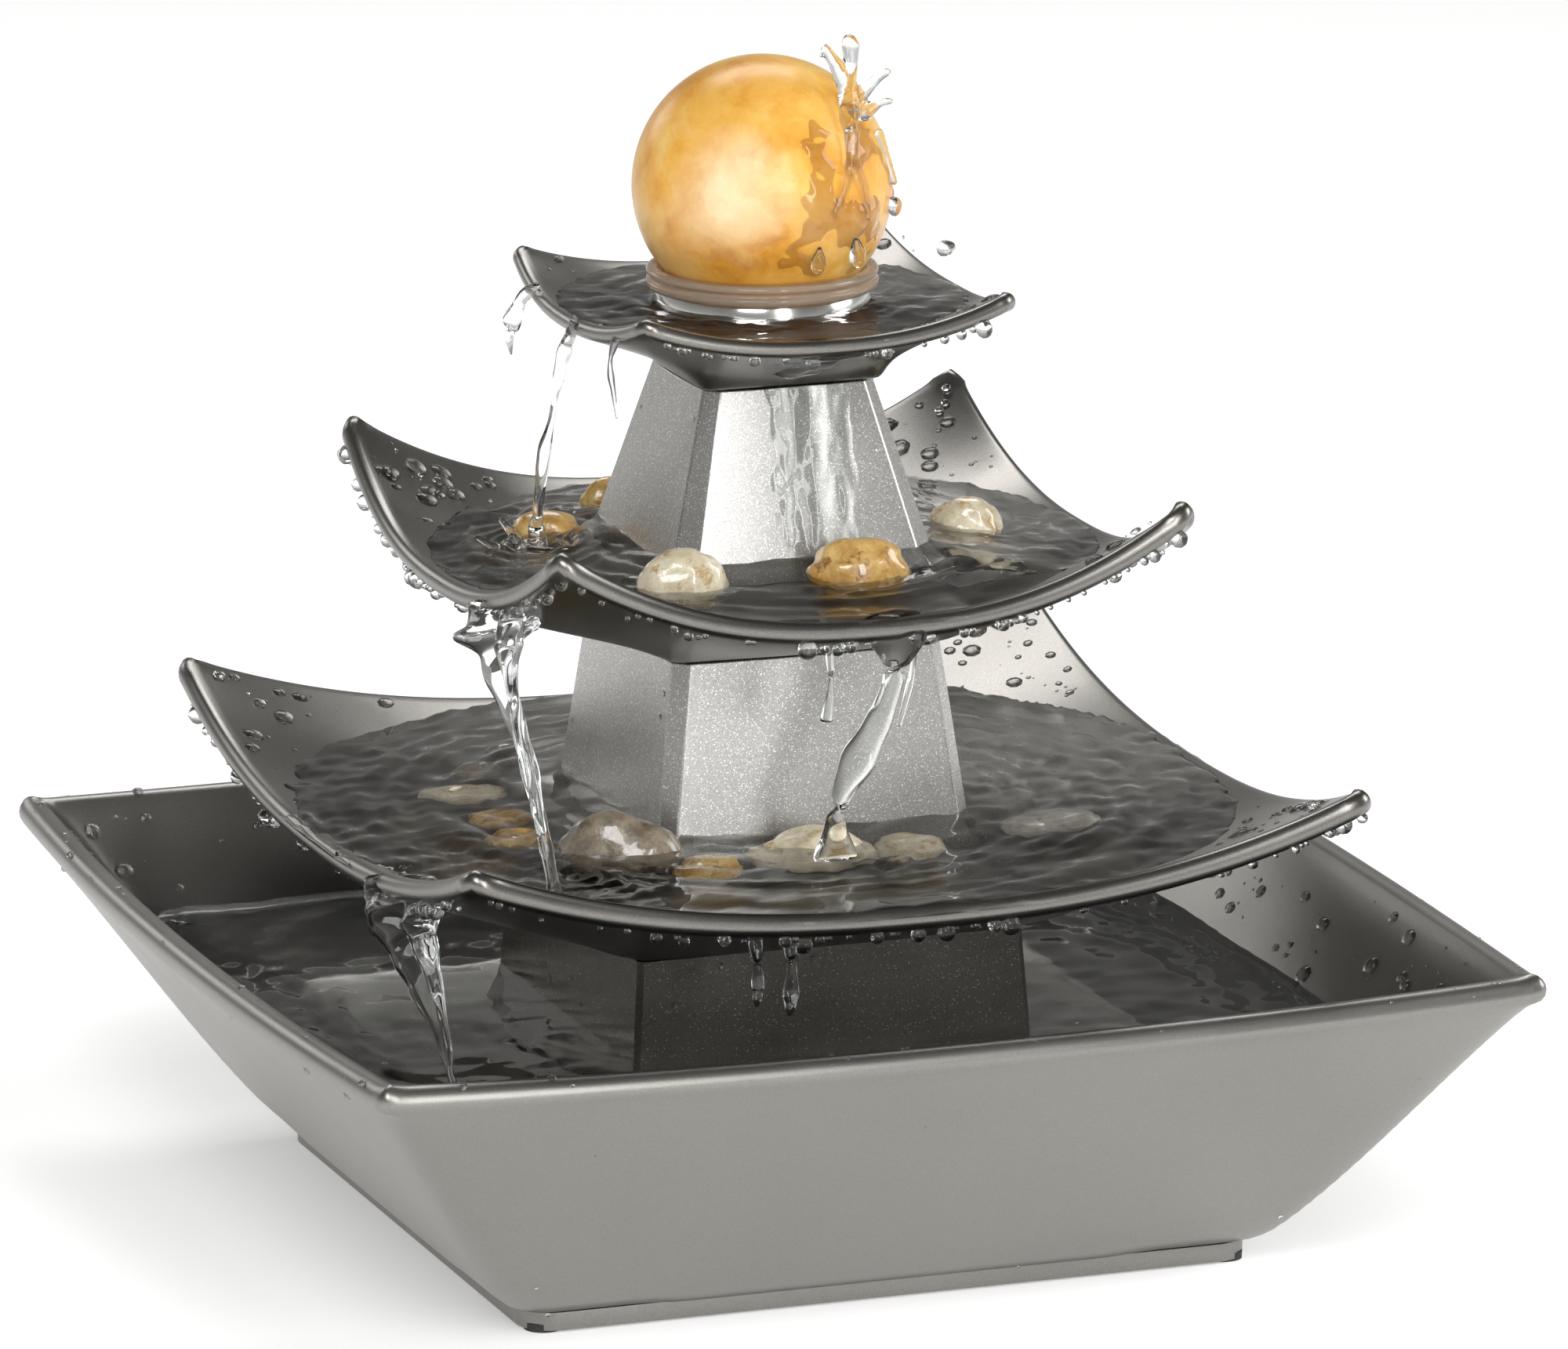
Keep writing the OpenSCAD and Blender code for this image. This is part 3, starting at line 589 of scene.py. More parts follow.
def clear_material(name, colour, rough, ior, clear=1.0):
    """A see-through material without absorption."""
    material, _, shader, _ = new_material(name)
    shader.inputs["Base Color"].default_value = (*colour, 1)
    shader.inputs["Roughness"].default_value = rough
    shader.inputs["IOR"].default_value = ior
    shader.inputs["Transmission Weight"].default_value = clear
    return material


# The cup's amber tint is painted: the clear acrylic is coloured like the onyx ball seen through it, a
# painted reflection of the ball.
acrylic = clear_material("acrylic", (1.0, 0.80, 0.60), rough=0.05, ior=1.3, clear=0.75)


def turned(name, outline, material, steps=96):
    """A body turned about the Z axis from (radius, height) points in millimetres."""
    bm = bmesh.new()
    points = [bm.verts.new((r * MM, 0, z * MM)) for r, z in outline]
    edges = [bm.edges.new((a, b)) for a, b in zip(points, points[1:] + points[:1])]
    bmesh.ops.spin(bm, geom=points + edges, cent=(0, 0, 0), axis=(0, 0, 1), angle=math.tau,
                   steps=steps, use_merge=True)
    bmesh.ops.remove_doubles(bm, verts=bm.verts, dist=1e-6)
    bmesh.ops.recalc_face_normals(bm, faces=bm.faces)
    return add_mesh(name, bm, material)


SEAT_GAP = 0.35
seat = [(math.sqrt((BALL_R + SEAT_GAP) ** 2 - (BALL_Z - z) ** 2), z)
        for z in (193.4, 196, 199, 201.5, 203.4)]
cup = turned("clear_cup", [(2.5, 193.0)] + seat + [
    (22.6, 203.7), (24.0, 203.5), (24.45, 203.0), (24.45, 202.3), (23.7, 201.9), (23.7, 201.2),
    (24.45, 200.8), (24.45, 199.8), (24.1, 199.3), (20.6, 199.3), (20.6, 195.1), (15, 195.1),
    (15, 189.1), (4.2, 189.1), (4.2, 183.1), (2.5, 183.1)], acrylic)
round_edges(cup, 0.25, 2, 35)
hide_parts("ball_cup")
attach(cup, "cup")

chrome, chrome_tree, chrome_shader, chrome_at = new_material("bright_collar")
chrome_shader.inputs["Metallic"].default_value = 1.0
fingermarks = noise_node(chrome_tree, chrome_at, 160, 4)
chrome_tree.links.new(ramp(chrome_tree, fingermarks.outputs["Fac"],
                           [(0.3, (0.72, 0.72, 0.70)), (0.7, (0.86, 0.86, 0.84))]),
                      chrome_shader.inputs["Base Color"])
chrome_shader.inputs["Roughness"].default_value = 0.16
collar = turned("bright_collar", [
    (6.3, 185.15), (17.1, 185.15), (17.1, 189.1), (22.3, 191.8), (22.75, 192.4), (22.75, 198.9),
    (22.4, 199.25), (21.2, 199.25), (20.95, 198.9), (20.95, 194.8), (15.3, 194.8), (15.3, 188.8),
    (6.3, 188.8)], chrome)
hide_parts("ball_collar")
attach(collar, "tower")


# ---- Hidden fittings ----
# The small submersible pump, its rubber feet and bung, and the clear tube to the cup, all
# under the cover. They keep their own solids, in moulded plastic, rubber, ceramic and vinyl.
mould, mould_in, mould_out = value_group("moulded_texture", {}, ("Texture",))
mould_noise = noise_node(mould, mould_in.outputs["Vector"], 320, 4)
mould.links.new(mould_noise.outputs["Fac"], mould_out.inputs["Texture"])


def moulded(name, colour, rough, transmission=0.0):
    """Moulded plastic or rubber with a fine texture."""
    material, tree, shader, vector = new_material(name)
    texture = use_group(tree, mould, vector).outputs["Texture"]
    low = tuple(c * 0.8 for c in colour)
    high = tuple(min(1, c * 1.2) for c in colour)
    tone = ramp(tree, texture, [(0.35, low), (0.65, high)])
    tree.links.new(tone, shader.inputs["Base Color"])
    shader.inputs["Roughness"].default_value = rough
    shader.inputs["Transmission Weight"].default_value = transmission
    bump_from(tree, texture, shader, 0.15, 0.1 * MM)
    return material


rubber = moulded("black_rubber", (0.03, 0.03, 0.03), 0.75)
pump_plastic = moulded("pump_plastic", (0.045, 0.048, 0.05), 0.45)
dial_plastic = moulded("dial_plastic", (0.14, 0.15, 0.15), 0.4)
rotor_plastic = moulded("rotor_plastic", (0.78, 0.78, 0.74), 0.4)
shaft_ceramic = moulded("shaft_ceramic", (0.85, 0.84, 0.8), 0.2)
vinyl = moulded("clear_vinyl", (0.88, 0.91, 0.91), 0.15, transmission=0.85)
FITTINGS = {
    rubber: ("foot_pads", "cord_bung", "tube_grommets", "pump_gland", "suction_cups",
             "shaft_bushes"),
    pump_plastic: ("outlet_adaptor", "pump_body", "pump_strainer", "impeller_cover"),
    dial_plastic: ("flow_dial",),
    rotor_plastic: ("impeller",),
    shaft_ceramic: ("impeller_shaft",),
    vinyl: ("supply_tube",),
}
for finish, nodes in FITTINGS.items():
    for node in nodes:
        finish_node(node, finish)


# ---- Pebbles ----
# Fifteen loose, water-worn river stones, ten in the large dish and five in the medium one:
# flattened, slightly uneven ovals, wet and glossy, in cream, amber, grey and brown.
PEBBLE_TINTS = {
    "brown": ((0.10, 0.075, 0.05), (0.30, 0.25, 0.18), (0.16, 0.14, 0.11)),
    "cream": ((0.52, 0.44, 0.29), (0.74, 0.68, 0.52), (0.42, 0.26, 0.10)),
    "amber": ((0.42, 0.22, 0.05), (0.66, 0.45, 0.16), (0.25, 0.11, 0.03)),
    "grey": ((0.28, 0.26, 0.22), (0.46, 0.43, 0.36), (0.20, 0.17, 0.13)),
}


stone, stone_in, stone_out = value_group("stone_marks", {}, ("Body", "Veins", "Pits"))
for mark, scale, detail, roughness in (("Body", 130, 6, 0.68), ("Veins", 240, 6, 0.7),
                                       ("Pits", 1100, 2, 0.5)):
    marks = noise_node(stone, stone_in.outputs["Vector"], scale, detail, roughness)
    stone.links.new(marks.outputs["Fac"], stone_out.inputs[mark])


def pebble_material(tint, seed):
    """A wet stone: two tones, darker veins and small pits."""
    low, high, vein = PEBBLE_TINTS[tint]
    material, tree, shader, vector = new_material(f"stone_{tint}_{seed}")
    place = tree.nodes.new("ShaderNodeMapping")
    place.inputs["Location"].default_value = (seed * 0.37, seed * 0.11, 0)
    tree.links.new(vector, place.inputs["Vector"])
    marks = use_group(tree, stone, place.outputs[0])
    colour = ramp(tree, marks.outputs["Body"], [(0.38, low), (0.60, high)])
    mask = ramp(tree, marks.outputs["Veins"], [(0.52, (0, 0, 0)), (0.64, (1, 1, 1))])
    tree.links.new(mix_colour(tree, mask, colour, vein), shader.inputs["Base Color"])
    shader.inputs["Roughness"].default_value = 0.28
    shader.inputs["Coat Weight"].default_value = 0.7
    shader.inputs["Coat Roughness"].default_value = 0.06
    bump_from(tree, marks.outputs["Pits"], shader, 0.35, 0.4 * MM)
    return material


def pebble_slot(node):
    """The material slot that the record gives a CAD node."""
    return next(s["material_slot"] for s in frame["record"]["subparts"] if s["node"] == node)


def pebble_mesh(solid, number):
    """An uneven stone that fills the room of a part's own solid."""
    corners = [Vector(v.co) for v in solid.vertices]
    middle = sum(corners, Vector()) / len(corners)
    reach = [p - middle for p in corners]
    long_axis = max(reach, key=lambda p: p.xy.length)
    turn = Matrix.Rotation(math.atan2(long_axis.y, long_axis.x), 3, "Z")
    flat = [turn.transposed() @ p for p in reach]
    half = Vector(max(abs(p[k]) for p in flat) for k in range(3))
    bm = bmesh.new()
    bmesh.ops.create_icosphere(bm, subdivisions=5, radius=1)
    for vert in bm.verts:
        p = vert.co.copy()
        # two sizes of bumps on a slightly squared ball
        swell = 1 + 0.22 * noise.noise(p * 1.1 + Vector((number * 3.1, 0, 0)))
        swell += 0.05 * noise.noise(p * 2.8 + Vector((0, number * 1.7, 0)))
        squared = Vector(math.copysign(abs(c) ** 0.92, c) for c in p)
        p = squared.normalized() * min(1.0, swell * 0.96)
        vert.co = turn @ Vector(p[k] * half[k] for k in range(3)) + middle
    return bm


PEBBLES = 15
for number in range(1, PEBBLES + 1):
    node = f"pebble_{number}"
    tint = pebble_slot(node).removeprefix("pebble_")
    pebble = add_mesh(f"stone_{number}", pebble_mesh(frame["nodes"][node].data, number),
                      pebble_material(tint, number))
    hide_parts(node)
    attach(pebble, "tower")


# ---- Water in the basin and dishes ----
# Clear water stands in the basin, deep enough for the pump, and brims over in each dish. Rings
# spread from the columns and from where each fall lands.
water = clear_material("water", (0.97, 0.98, 0.98), rough=0.015, ior=1.33)


def ripples(x, y, size, splashes, seed):
    """Height of the ripples in millimetres: rings about the column and about each splash."""
    away, about = math.hypot(x, y), math.atan2(y, x)
    # broken rings round the column, a slow swell, and a fine chop
    lift = size * noise.noise(Vector((away * 0.30, about * 2.2, seed)))
    lift += 0.6 * size * noise.noise(Vector((x * 0.16, y * 0.16, seed + 4)))
    lift += 0.35 * size * noise.noise(Vector((x * 0.42, y * 0.42, seed + 9)))
    for sx, sy, strength in splashes:
        d = math.hypot(x - sx, y - sy)
        lift += strength * math.cos(d * 1.25) * math.exp(-d / 9)
    return lift


def water_skin(name, steps, shape, body):
    """A closed skin of water; shape(u, v) gives its top and bottom points and how wet it is."""
    bm = bmesh.new()
    bmesh.ops.create_grid(bm, x_segments=steps[0], y_segments=steps[1], size=1)
    under = bm.verts.layers.float_vector.new("under")
    depth = {}
    for vert in bm.verts:
        top, bottom, depth[vert] = shape(vert.co.x, vert.co.y)
        vert.co = top * MM
        vert[under] = bottom * MM
    dry = [f for f in bm.faces if max(depth[v] for v in f.verts) <= 0]
    bmesh.ops.delete(bm, geom=dry, context="FACES")
    lower = bmesh.ops.extrude_face_region(bm, geom=bm.faces[:])["geom"]
    for vert in lower:
        if isinstance(vert, bmesh.types.BMVert):
            vert.co = vert[under]
    bmesh.ops.recalc_face_normals(bm, faces=bm.faces)
    skin = add_mesh(name, bm, water)
    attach(skin, body)


OVER_BRIM = 0.04
LAP_DEPTH = 0.9


def pool(name, shell, level, heap, reach, size, splashes, seed, body, steps=110):
    """Water standing in a shell; it heaps up by heap over the last reach towards the column."""

    def shape(u, v):
        """Top, bottom and depth of the water over one place of the shell."""
        u, v = u * (1 + OVER_BRIM), v * (1 + OVER_BRIM)
        past = max(0.0, max(abs(u), abs(v)) - 1) / OVER_BRIM
        bed = shell.brim(u, v, 1 - 0.5 * past) if past else shell.bed(u, v)
        away = max(abs(bed.x), abs(bed.y))
        near = 1 - min(1.0, away / reach)
        surface = level + heap * near * near * (3 - 2 * near)
        surface += ripples(bed.x, bed.y, size, splashes, seed)
        surface -= LAP_DEPTH * past * past
        top = Vector((bed.x, bed.y, max(surface, bed.z - 0.3)))
        return top, Vector((bed.x, bed.y, bed.z - 0.7)), surface - bed.z
    water_skin(name, (steps, steps), shape, body)


pool("basin_water", BASIN, level=44.9, heap=0, reach=60, size=0.45,
     splashes=((-90, -72, 0.9), (-62, -62, 0.4), (-34, -92, 0.4)), seed=1.5, body="basin", steps=130)
pool("large_dish_water", DISHES["tier_large"], level=88.7, heap=2.3, reach=92, size=0.75,
     splashes=((-60, -52, 0.8), (4, -66, 0.8), (-76, -20, 0.4)), seed=4.2, body="tower")
pool("medium_dish_water", DISHES["tier_medium"], level=142.9, heap=6.0, reach=72, size=0.6,
     splashes=((-46, 12, 0.9), (-30, 34, 0.4)), seed=7.3, body="tower")
pool("small_dish_water", DISHES["tier_small"], level=196.4, heap=0.8, reach=40, size=0.5,
     splashes=(), seed=2.8, body="tower", steps=80)


# ---- Falling water ----
# Water leaves the low middle of each rim as a wide sheet, draws together into a twisted rope
# and lands in the next dish or in the basin. Each fall is one smooth, closed skin.
ROPE_SIDES = 12
ROPE_RINGS = 9


def rope(bm, path, widths, thin, turn, seed):
    """A twisted rope of water along a path in millimetres, closed at its ends."""
    path = [Vector(p) for p in path]
    steps = ROPE_RINGS * (len(path) - 1)
    ring = bmesh.ops.create_circle(bm, segments=ROPE_SIDES, radius=1)["verts"]
    edges = list({e for v in ring for e in v.link_edges})
    start, before, verts = edges, Matrix.Identity(4), ring
    for i in range(steps + 1):
        s = i / steps * (len(path) - 1)
        k = min(int(s), len(path) - 2)
        f = s - k
        # A smooth curve through the path's points
        p0, p3 = path[max(0, k - 1)], path[min(len(path) - 1, k + 2)]
        p1, p2 = path[k], path[k + 1]
        point = 0.5 * (2 * p1 + (p2 - p0) * f + (2 * p0 - 5 * p1 + 4 * p2 - p3) * f * f
                       + (3 * p1 - p0 - 3 * p2 + p3) * f ** 3)
        width = widths[k] * (1 - f) + widths[k + 1] * f
        swell = 1 + 0.4 * noise.noise(Vector((s * 1.3, seed, 0))) + 0.05 * math.sin(s * 7 + seed)
        ahead = (p2 - p1).normalized()
        aim = ahead.to_track_quat("Z", "Y").to_matrix().to_4x4()
        spin = Matrix.Rotation(turn * i / steps + 0.5 * noise.noise(Vector((s, seed, 5))), 4, "Z")
        size = Matrix.Diagonal((width * swell, width * thin * swell, 1, 1))
        place = Matrix.Scale(MM, 4) @ Matrix.Translation(point) @ aim @ spin @ size
        if i:
            grown = bmesh.ops.extrude_edge_only(bm, edges=edges)["geom"]
            verts = [g for g in grown if isinstance(g, bmesh.types.BMVert)]
            edges = [g for g in grown if isinstance(g, bmesh.types.BMEdge)]
        bmesh.ops.transform(bm, matrix=place @ before.inverted(), verts=verts)
        before = place
    bmesh.ops.holes_fill(bm, edges=start + edges, sides=ROPE_SIDES)


def falling(name, ropes, body):
    """One piece of falling water from ropes of (path, widths, thinness, turn)."""
    bm = bmesh.new()
    for number, (path, widths, thin, turn) in enumerate(ropes):
        rope(bm, path, widths, thin, turn, seed=number * 3.7 + len(name))
    bmesh.ops.recalc_face_normals(bm, faces=bm.faces)
    piece = add_mesh(name, bm, water)
    smooth = piece.modifiers.new("smooth", "SUBSURF")
    smooth.levels = smooth.render_levels = 1
    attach(piece, body)


falling("small_dish_falls", [
    (((-43.5, 19.5, 198.5), (-45.5, 24, 194), (-46.5, 28, 187), (-46.5, 27, 182)),
     (1.2, 1.6, 2.4, 0.4), 0.5, 2),
    (((-43, -6, 196.2), (-45.5, -5, 190), (-46, -1.5, 182), (-46, 2, 174), (-46, 7, 166), (-46, 10, 157),
      (-46, 13, 147)), (3.2, 1.3, 1.5, 1.0, 1.6, 1.2, 2.6), 0.55, 5),
    (((-42.5, -29, 197), (-45, -32, 192), (-46, -37, 187), (-46, -39, 182)),
     (1.5, 0.8, 0.8, 0.5), 0.6, 2),
], "tower")
falling("medium_dish_falls", [
    (((-69, -34, 143.2), (-72, -38, 140), (-72.5, -41, 134), (-72.5, -48, 125), (-72, -55, 116),
      (-71, -60, 107), (-70, -64, 97), (-69, -66, 88)),
     (9, 8.5, 6.5, 4.2, 4.6, 3.0, 2.2, 2.6), 0.28, 3.4),
    (((-70, -43, 143.6), (-72.5, -47, 138), (-73, -50, 130), (-72.5, -55, 121), (-71.5, -59, 111),
      (-70.5, -62, 101)), (3.0, 3.4, 2.6, 2.6, 1.7, 1.0), 0.5, 4),
    (((2, -67.5, 142.6), (3.5, -70.5, 139), (3, -72, 132), (0, -72, 123), (-5, -71, 113),
      (-9, -70, 103), (-9, -69, 92)), (7.5, 7.0, 4.0, 2.8, 3.2, 2.6, 4.2), 0.32, 3.0),
    (((-11, -67, 142), (-11, -70, 138.5), (-10.6, -70.5, 131), (-11.5, -70.5, 122)),
     (2.2, 1.2, 0.6, 2.0), 0.7, 1),
    (((8, -67.5, 142.4), (8, -70.5, 137), (6.5, -71.5, 129), (4, -71.5, 120)),
     (1.6, 1.2, 0.9, 0.6), 0.6, 2),
], "tower")
falling("large_dish_falls", [
    (((-95, -44, 89.4), (-98, -48, 86), (-97.5, -54, 79), (-96, -60, 72), (-94, -66, 62),
      (-93, -70, 53), (-92, -72, 45)), (9, 8, 5.0, 4.4, 3.2, 2.8, 3.4), 0.28, 2.5),
    (((-95.5, -60, 90.4), (-97.5, -63, 86), (-97, -66, 80), (-95.5, -69, 71), (-94, -73, 60)),
     (4, 3.6, 2.4, 1.6, 0.8), 0.4, 2),
    (((-36, -95, 84), (-35.8, -96, 79), (-35.8, -96, 73), (-36, -96, 70)),
     (2.0, 1.0, 1.6, 0.4), 0.8, 1),
    (((-29, -95, 84), (-28.4, -96, 79), (-28.6, -96, 72), (-28.8, -96, 67.5)),
     (2.2, 1.2, 2.2, 0.5), 0.8, 1),
], "tower")


# ---- Wet faces ----
# Ragged sheets of water cling to the front of the upper column, under the small dish's brim and
# to the right of the ball, where a splash leaps up. Each is a closed skin, sunk into its face.
SINK = 0.2


def column_half(low, high, z):
    """Half width of a column's flat sides at a height."""
    return low[0] + (high[0] - low[0]) * (z - low[2]) / (high[2] - low[2])


def column_film(u, v):
    """A ragged sheet down the front of the upper column."""
    x, z = 2 + 12 * u, 160 + 21.2 * v
    half = column_half(*COLUMNS["column_upper"], z)
    half += COLUMN_CROWN * (1 - (x / half) ** 2)
    wet = 0.9 * noise.noise(Vector((x * 0.16, z * 0.045, 3)))
    wet += 0.25 * noise.noise(Vector((x * 0.5, z * 0.2, 8)))
    wet += 0.45 - 1.1 * abs(u) ** 2.2
    face = Vector((x, -half, z))
    out = Vector((0, -0.963, 0.27))
    return face + out * max(-SINK, 1.1 * wet), face - out * 0.6, wet + 0.15


water_skin("column_film", (48, 80), column_film, "tower")


def brim_film(u, v):
    """Water that curls under the small dish's front brim."""
    shell = DISHES["tier_small"]
    a, b = 0.30 * u, -0.80 - 0.19 * v
    skin = shell.outer(a, b)
    out = skin - shell.inner(a, b)
    out.normalize()
    wet = 0.35 + 0.9 * noise.noise(Vector((u * 2.2, v * 1.5, 6))) - 0.9 * abs(u) ** 2
    return skin + out * max(-SINK, 1.3 * wet), skin - out * 0.7, wet + 0.15


water_skin("brim_film", (40, 24), brim_film, "tower")


def ball_film(u, v):
    """Patches of water that slide over the right of the ball."""
    about, up = math.radians(-62 + 46 * u), math.radians(4 + 42 * v)
    out = Vector((math.cos(about) * math.cos(up), math.sin(about) * math.cos(up), math.sin(up)))
    wet = 0.9 * noise.noise(out * 3.6 + Vector((3, 1, 7))) + 0.35 * noise.noise(out * 9)
    wet += 0.10 - 0.6 * max(abs(u), abs(v)) ** 3
    skin = Vector((0, 0, BALL_Z)) + out * BALL_R
    return skin + out * max(-SINK, 1.4 * wet), skin - out * 0.5, wet + 0.1


water_skin("ball_film", (84, 84), ball_film, "cup")


BLOB_VOXEL = 0.45
BLOB_STEP, BLOB_STEP_MIN = 0.6, 0.35


def blobs(name, chains, body):
    """Beads of water along chains of (x, y, z, radius), melted into one skin."""
    bm = bmesh.new()
    for chain in chains:
        for (*a, ra), (*b, rb) in zip(chain, chain[1:] or chain):
            a, b = Vector(a), Vector(b)
            beads = max(1, int((b - a).length / max(BLOB_STEP_MIN, min(ra, rb) * BLOB_STEP)))
            for i in range(beads + 1):
                s = i / beads
                bmesh.ops.create_icosphere(bm, subdivisions=2, radius=(ra + (rb - ra) * s) * MM,
                                           matrix=Matrix.Translation(a.lerp(b, s) * MM))
    piece = add_mesh(name, bm, water)
    melt = piece.modifiers.new("melt", "REMESH")
    melt.mode = "VOXEL"
    melt.voxel_size = BLOB_VOXEL * MM
    melt.use_smooth_shade = True
    soften = piece.modifiers.new("soften", "SMOOTH")
    soften.factor = 0.6
    soften.iterations = 4
    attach(piece, body)


blobs("ball_splash", [
    [(12, -20, 237, 2.2), (13, -16, 243, 2.0), (11, -15, 248, 1.6), (9, -14, 251.5, 1.0)],
    [(13, -16, 243, 2.0), (14.5, -14.5, 248, 1.5), (14.5, -14, 251.6, 2.0), (14.2, -14, 252.6, 1.7)],
    [(13, -17, 240, 2.2), (17, -16, 242.5, 1.6), (20, -15, 244.5, 1.1), (22.6, -14, 245.6, 1.0)],
    [(16, -18, 238, 1.8), (20, -16, 239.6, 1.1), (23.3, -14, 239.4, 0.8)],
    [(9, -14, 251.5, 1.0), (7.8, -14, 250, 0.5)],
    [(12, -22, 236, 1.6), (11, -24.5, 230, 1.3), (9, -26, 224, 1.0), (6, -27, 219, 0.9)],
    [(20.5, -15, 233, 1.1), (22.5, -14.5, 228, 0.7), (24.5, -13.5, 222, 0.8)],
    [(11, -24.5, 230, 1.3), (14, -24, 224, 1.0), (15, -23.5, 217, 0.7)],
    [(11.5, -25.5, 213, 0.7), (11.9, -25.5, 210, 1.9), (11.9, -25.2, 208.6, 1.8)],
    [(2.8, -27.3, 212, 0.6), (2.7, -27.0, 209, 1.7), (2.7, -26.6, 207.9, 1.6)],
    [(24.2, -14, 217.2, 1.9), (24.4, -14, 216, 1.4)],
    [(35.6, -14, 207.1, 1.9), (36.6, -14, 207.3, 1.5)],
    [(26.3, -14, 210.1, 0.6)], [(28.6, -14, 207.1, 0.5)],
], "cup")
blobs("medium_crown", [
    [(-50, 10, 144, 1.6), (-53, 8, 147.5, 0.9)], [(-46, 12, 144, 2.4), (-46, 13, 149, 1.6)],
    [(-42, 9, 144, 1.6), (-40, 7, 147, 0.8)], [(-48, 18, 144, 1.5), (-51, 21, 148, 0.8)],
    [(-42, 18, 144, 1.4), (-39, 20, 147, 0.7)], [(-55, 13, 144, 1.2), (-59, 13, 146.5, 0.7)],
    [(-50, 10, 143.4, 1.8), (-46, 6, 143.4, 1.6), (-41, 9, 143.4, 1.6), (-40, 15, 143.4, 1.6),
     (-45, 20, 143.4, 1.8), (-51, 17, 143.4, 1.6), (-50, 10, 143.4, 1.8)],
    [(-56, 4, 147, 0.7)], [(-37, 14, 150, 0.6)], [(-53, 22, 152, 0.6)],
], "tower")


# ---- Droplets ----
# Beads of water on the dishes' flaps, the basin's walls, the columns and the cover, hanging in
# rows under the brims, and foam beside the cover. Each bead has only a few dozen faces.
dice = random.Random(11)
MOST = 0.97

bead_bm = bmesh.new()
bmesh.ops.create_uvsphere(bead_bm, u_segments=8, v_segments=6, radius=1)
bead_mesh = bpy.data.meshes.new("bead")
bead_bm.to_mesh(bead_mesh)
bead_bm.free()


def bead(bm, point, out, radius, flat, droop=0.0):
    """Adds one low bead that sits on a surface."""
    aim = out.to_track_quat("Z", "Y").to_matrix().to_4x4()
    squeeze = Matrix.Diagonal((radius, radius * dice.uniform(0.8, 1.1), radius * flat, 1))
    place = Matrix.Scale(MM, 4) @ Matrix.Translation(point - Vector((0, 0, droop)))
    shape = bead_mesh.copy()
    shape.transform(place @ aim @ squeeze)
    bm.from_mesh(shape)
    bpy.data.meshes.remove(shape)


def bead_size(small, large):
    """Mostly small beads with a few large ones."""
    return small + (large - small) * dice.random() ** 3


def beads_piece(name, bm, body):
    """Makes one piece of all the beads on a body."""
    piece = add_mesh(name, bm, water)
    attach(piece, body)


def wall_beads(bm, shell, level, count, most, edge, large, small, flat):
    """Scatters beads over the inner wall of a shell above the water's level."""
    placed = 0
    while placed < count:
        u, v = dice.uniform(-most, most), dice.uniform(-most, most)
        point = shell.inner(u, v)
        if point.z < level or max(abs(u), abs(v)) > edge:
            continue
        out = (point - shell.outer(u, v)).normalized()
        bead(bm, point, out, bead_size(small, large), flat)
        placed += 1


# For each dish: the lowest bead, the number on its flaps, and the number hanging under each
# of its four brims, front first
DISH_BEADS = {
    "tier_large": (90, 170, (46, 46, 46, 46)),
    "tier_medium": (144.5, 140, (46, 46, 46, 46)),
    "tier_small": (197.5, 30, (26, 0, 0, 0)),
}
tower_beads = bmesh.new()
for tier, (level, count, hanging) in DISH_BEADS.items():
    shell = DISHES[tier]
    wall_beads(tower_beads, shell, level, count, most=MOST, edge=0.985, large=2.9, small=0.4,
               flat=0.42)
    for side, number in enumerate(hanging):
        for _ in range(number):
            along = dice.uniform(-MOST, MOST)
            back = 1 - dice.choice((0.0, 0.02, 0.05, 0.12)) * dice.random()
            u, v = ((along, -back), (-back, along), (along, back), (back, along))[side]
            point = shell.outer(u, v)
            out = (point - shell.inner(u, v)).normalized()
            r = bead_size(0.6, 2.3)
            bead(tower_beads, point + out * r * 0.3, out, r, 0.95, droop=0.2 * r)
COLUMN_BEADS, COLUMN_DRY = 110, 90
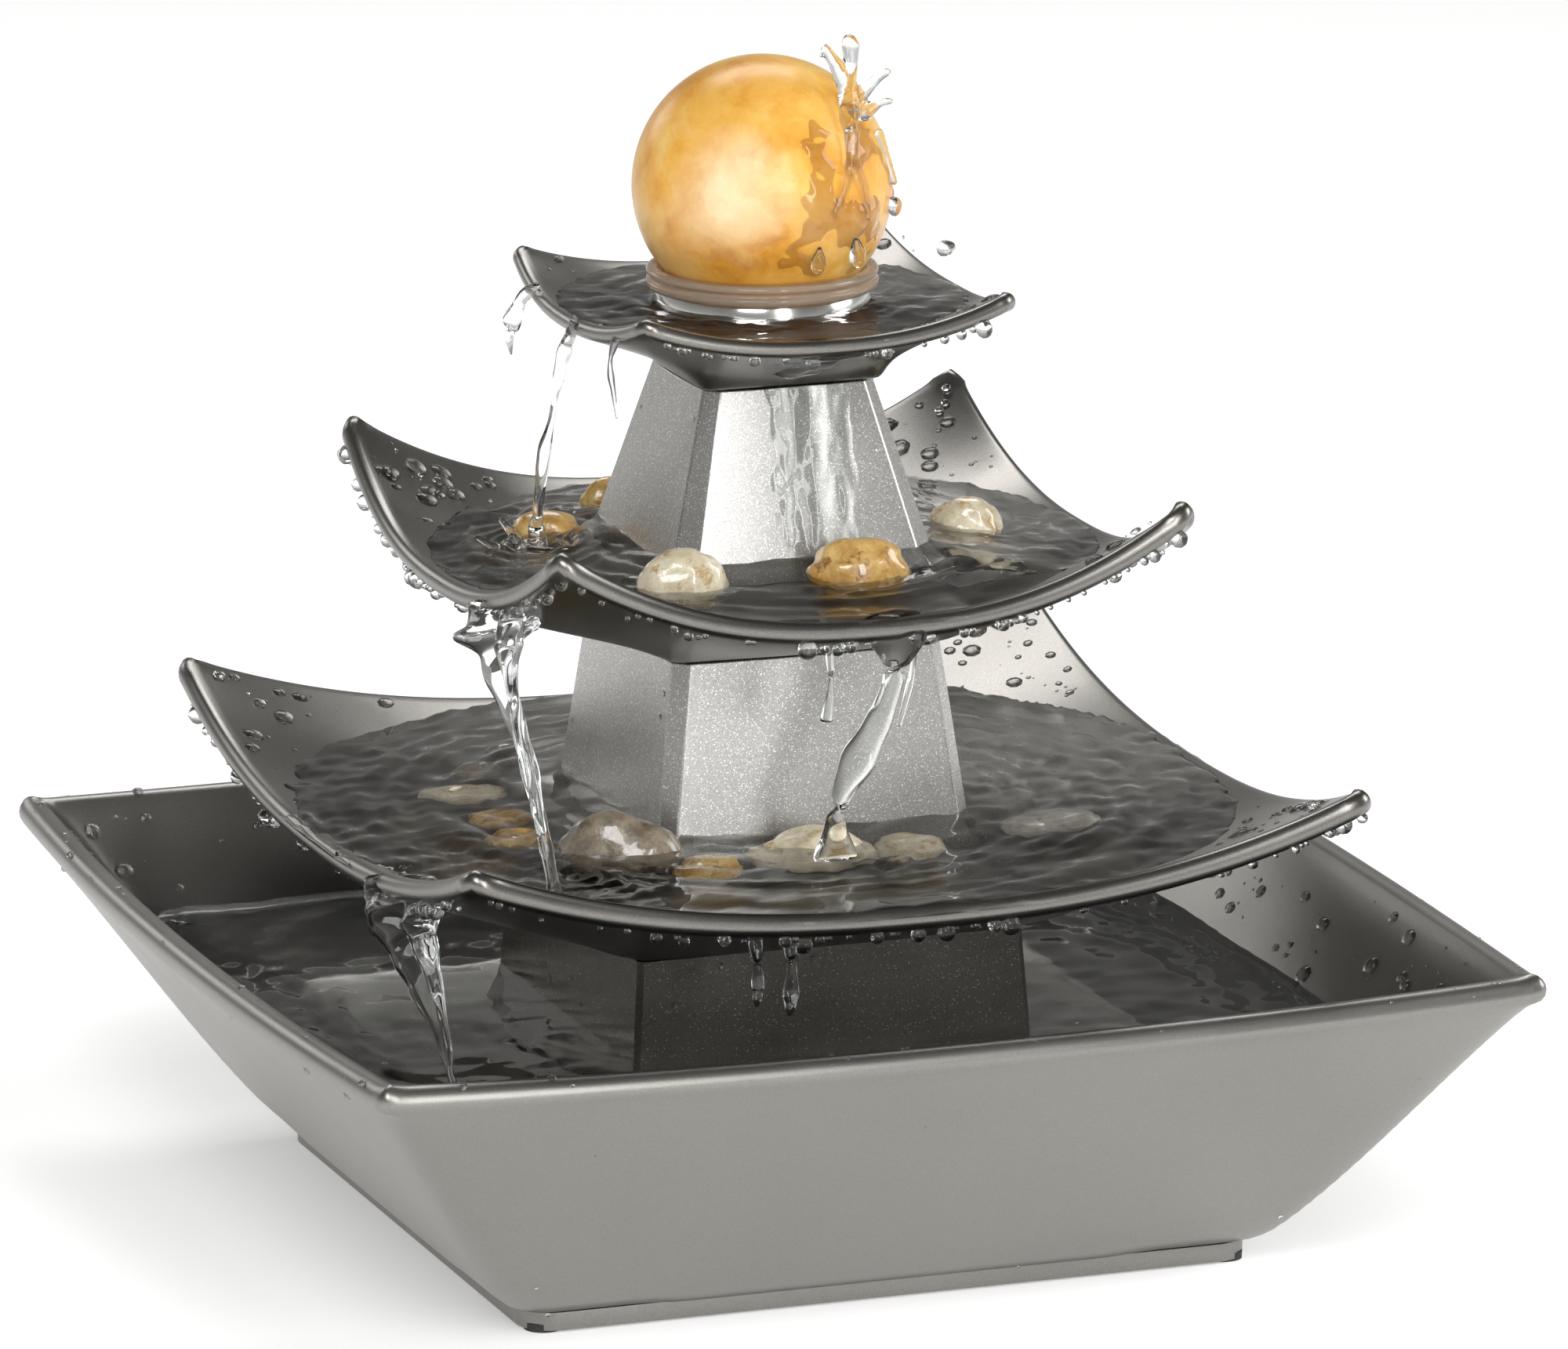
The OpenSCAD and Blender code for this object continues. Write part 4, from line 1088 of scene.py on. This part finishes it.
for low, high in COLUMNS.values():
    for _ in range(COLUMN_BEADS):
        z = low[2] + (high[2] - low[2]) * dice.random()
        if z < COLUMN_DRY:
            continue
        half = column_half(low, high, z)
        turn = Matrix.Rotation(math.pi / 2 * dice.randrange(4), 3, "Z")
        out = turn @ Vector((1, 0, (low[0] - high[0]) / (high[2] - low[2]))).normalized()
        point = turn @ Vector((half, dice.uniform(-0.85, 0.85) * half, z))
        bead(tower_beads, point, out, bead_size(0.25, 0.9), 0.6)
COVER_BEADS, COVER_TOP, COVER_HALF, COVER_SLOPE = 90, 66.5, 42.8, 0.068
for _ in range(COVER_BEADS):
    turn = Matrix.Rotation(math.pi / 2 * dice.randrange(4), 3, "Z")
    z = dice.uniform(46.5, 65)
    point = turn @ Vector((COVER_HALF + COVER_SLOPE * (COVER_TOP - z), dice.uniform(-39, 39), z))
    bead(tower_beads, point, turn @ Vector((1, 0, 0.07)), bead_size(0.25, 0.9), 0.6)
beads_piece("tower_beads", tower_beads, "tower")

UP = Vector((0, 0, 1))
BASIN_BEADS, RIM_BEADS, OUTSIDE_BEADS, FOAM_BEADS = 340, 70, 36, 70
basin_beads = bmesh.new()
wall_beads(basin_beads, BASIN, 46.5, BASIN_BEADS, most=0.985, edge=0.99, large=2.4, small=0.35,
           flat=0.45)
for _ in range(RIM_BEADS):
    along = dice.uniform(-MOST, MOST)
    u, v = dice.choice(((along, -1), (-1, along), (along, 1), (1, along)))
    point = BASIN.brim(u, v, dice.uniform(0.35, 0.8))
    bead(basin_beads, point, UP, bead_size(0.3, 1.3), 0.6)
for _ in range(OUTSIDE_BEADS):
    along, back = dice.uniform(-0.9, 0.9), dice.choice((0.99, 0.97, 0.9, 0.8, 0.6))
    u, v = dice.choice(((along, -back), (-back, along), (along, back), (back, along)))
    point, out = BASIN.outer(u, v), -BASIN.inward(u, v)
    bead(basin_beads, point, out, bead_size(0.3, 1.1), 0.6)
for _ in range(FOAM_BEADS):
    point = Vector((dice.gauss(-56, 9), dice.gauss(-62, 6), 45.0 + dice.uniform(0, 0.8)))
    bead(basin_beads, point, UP, bead_size(0.4, 2.0), 0.8)
beads_piece("basin_beads", basin_beads, "basin")
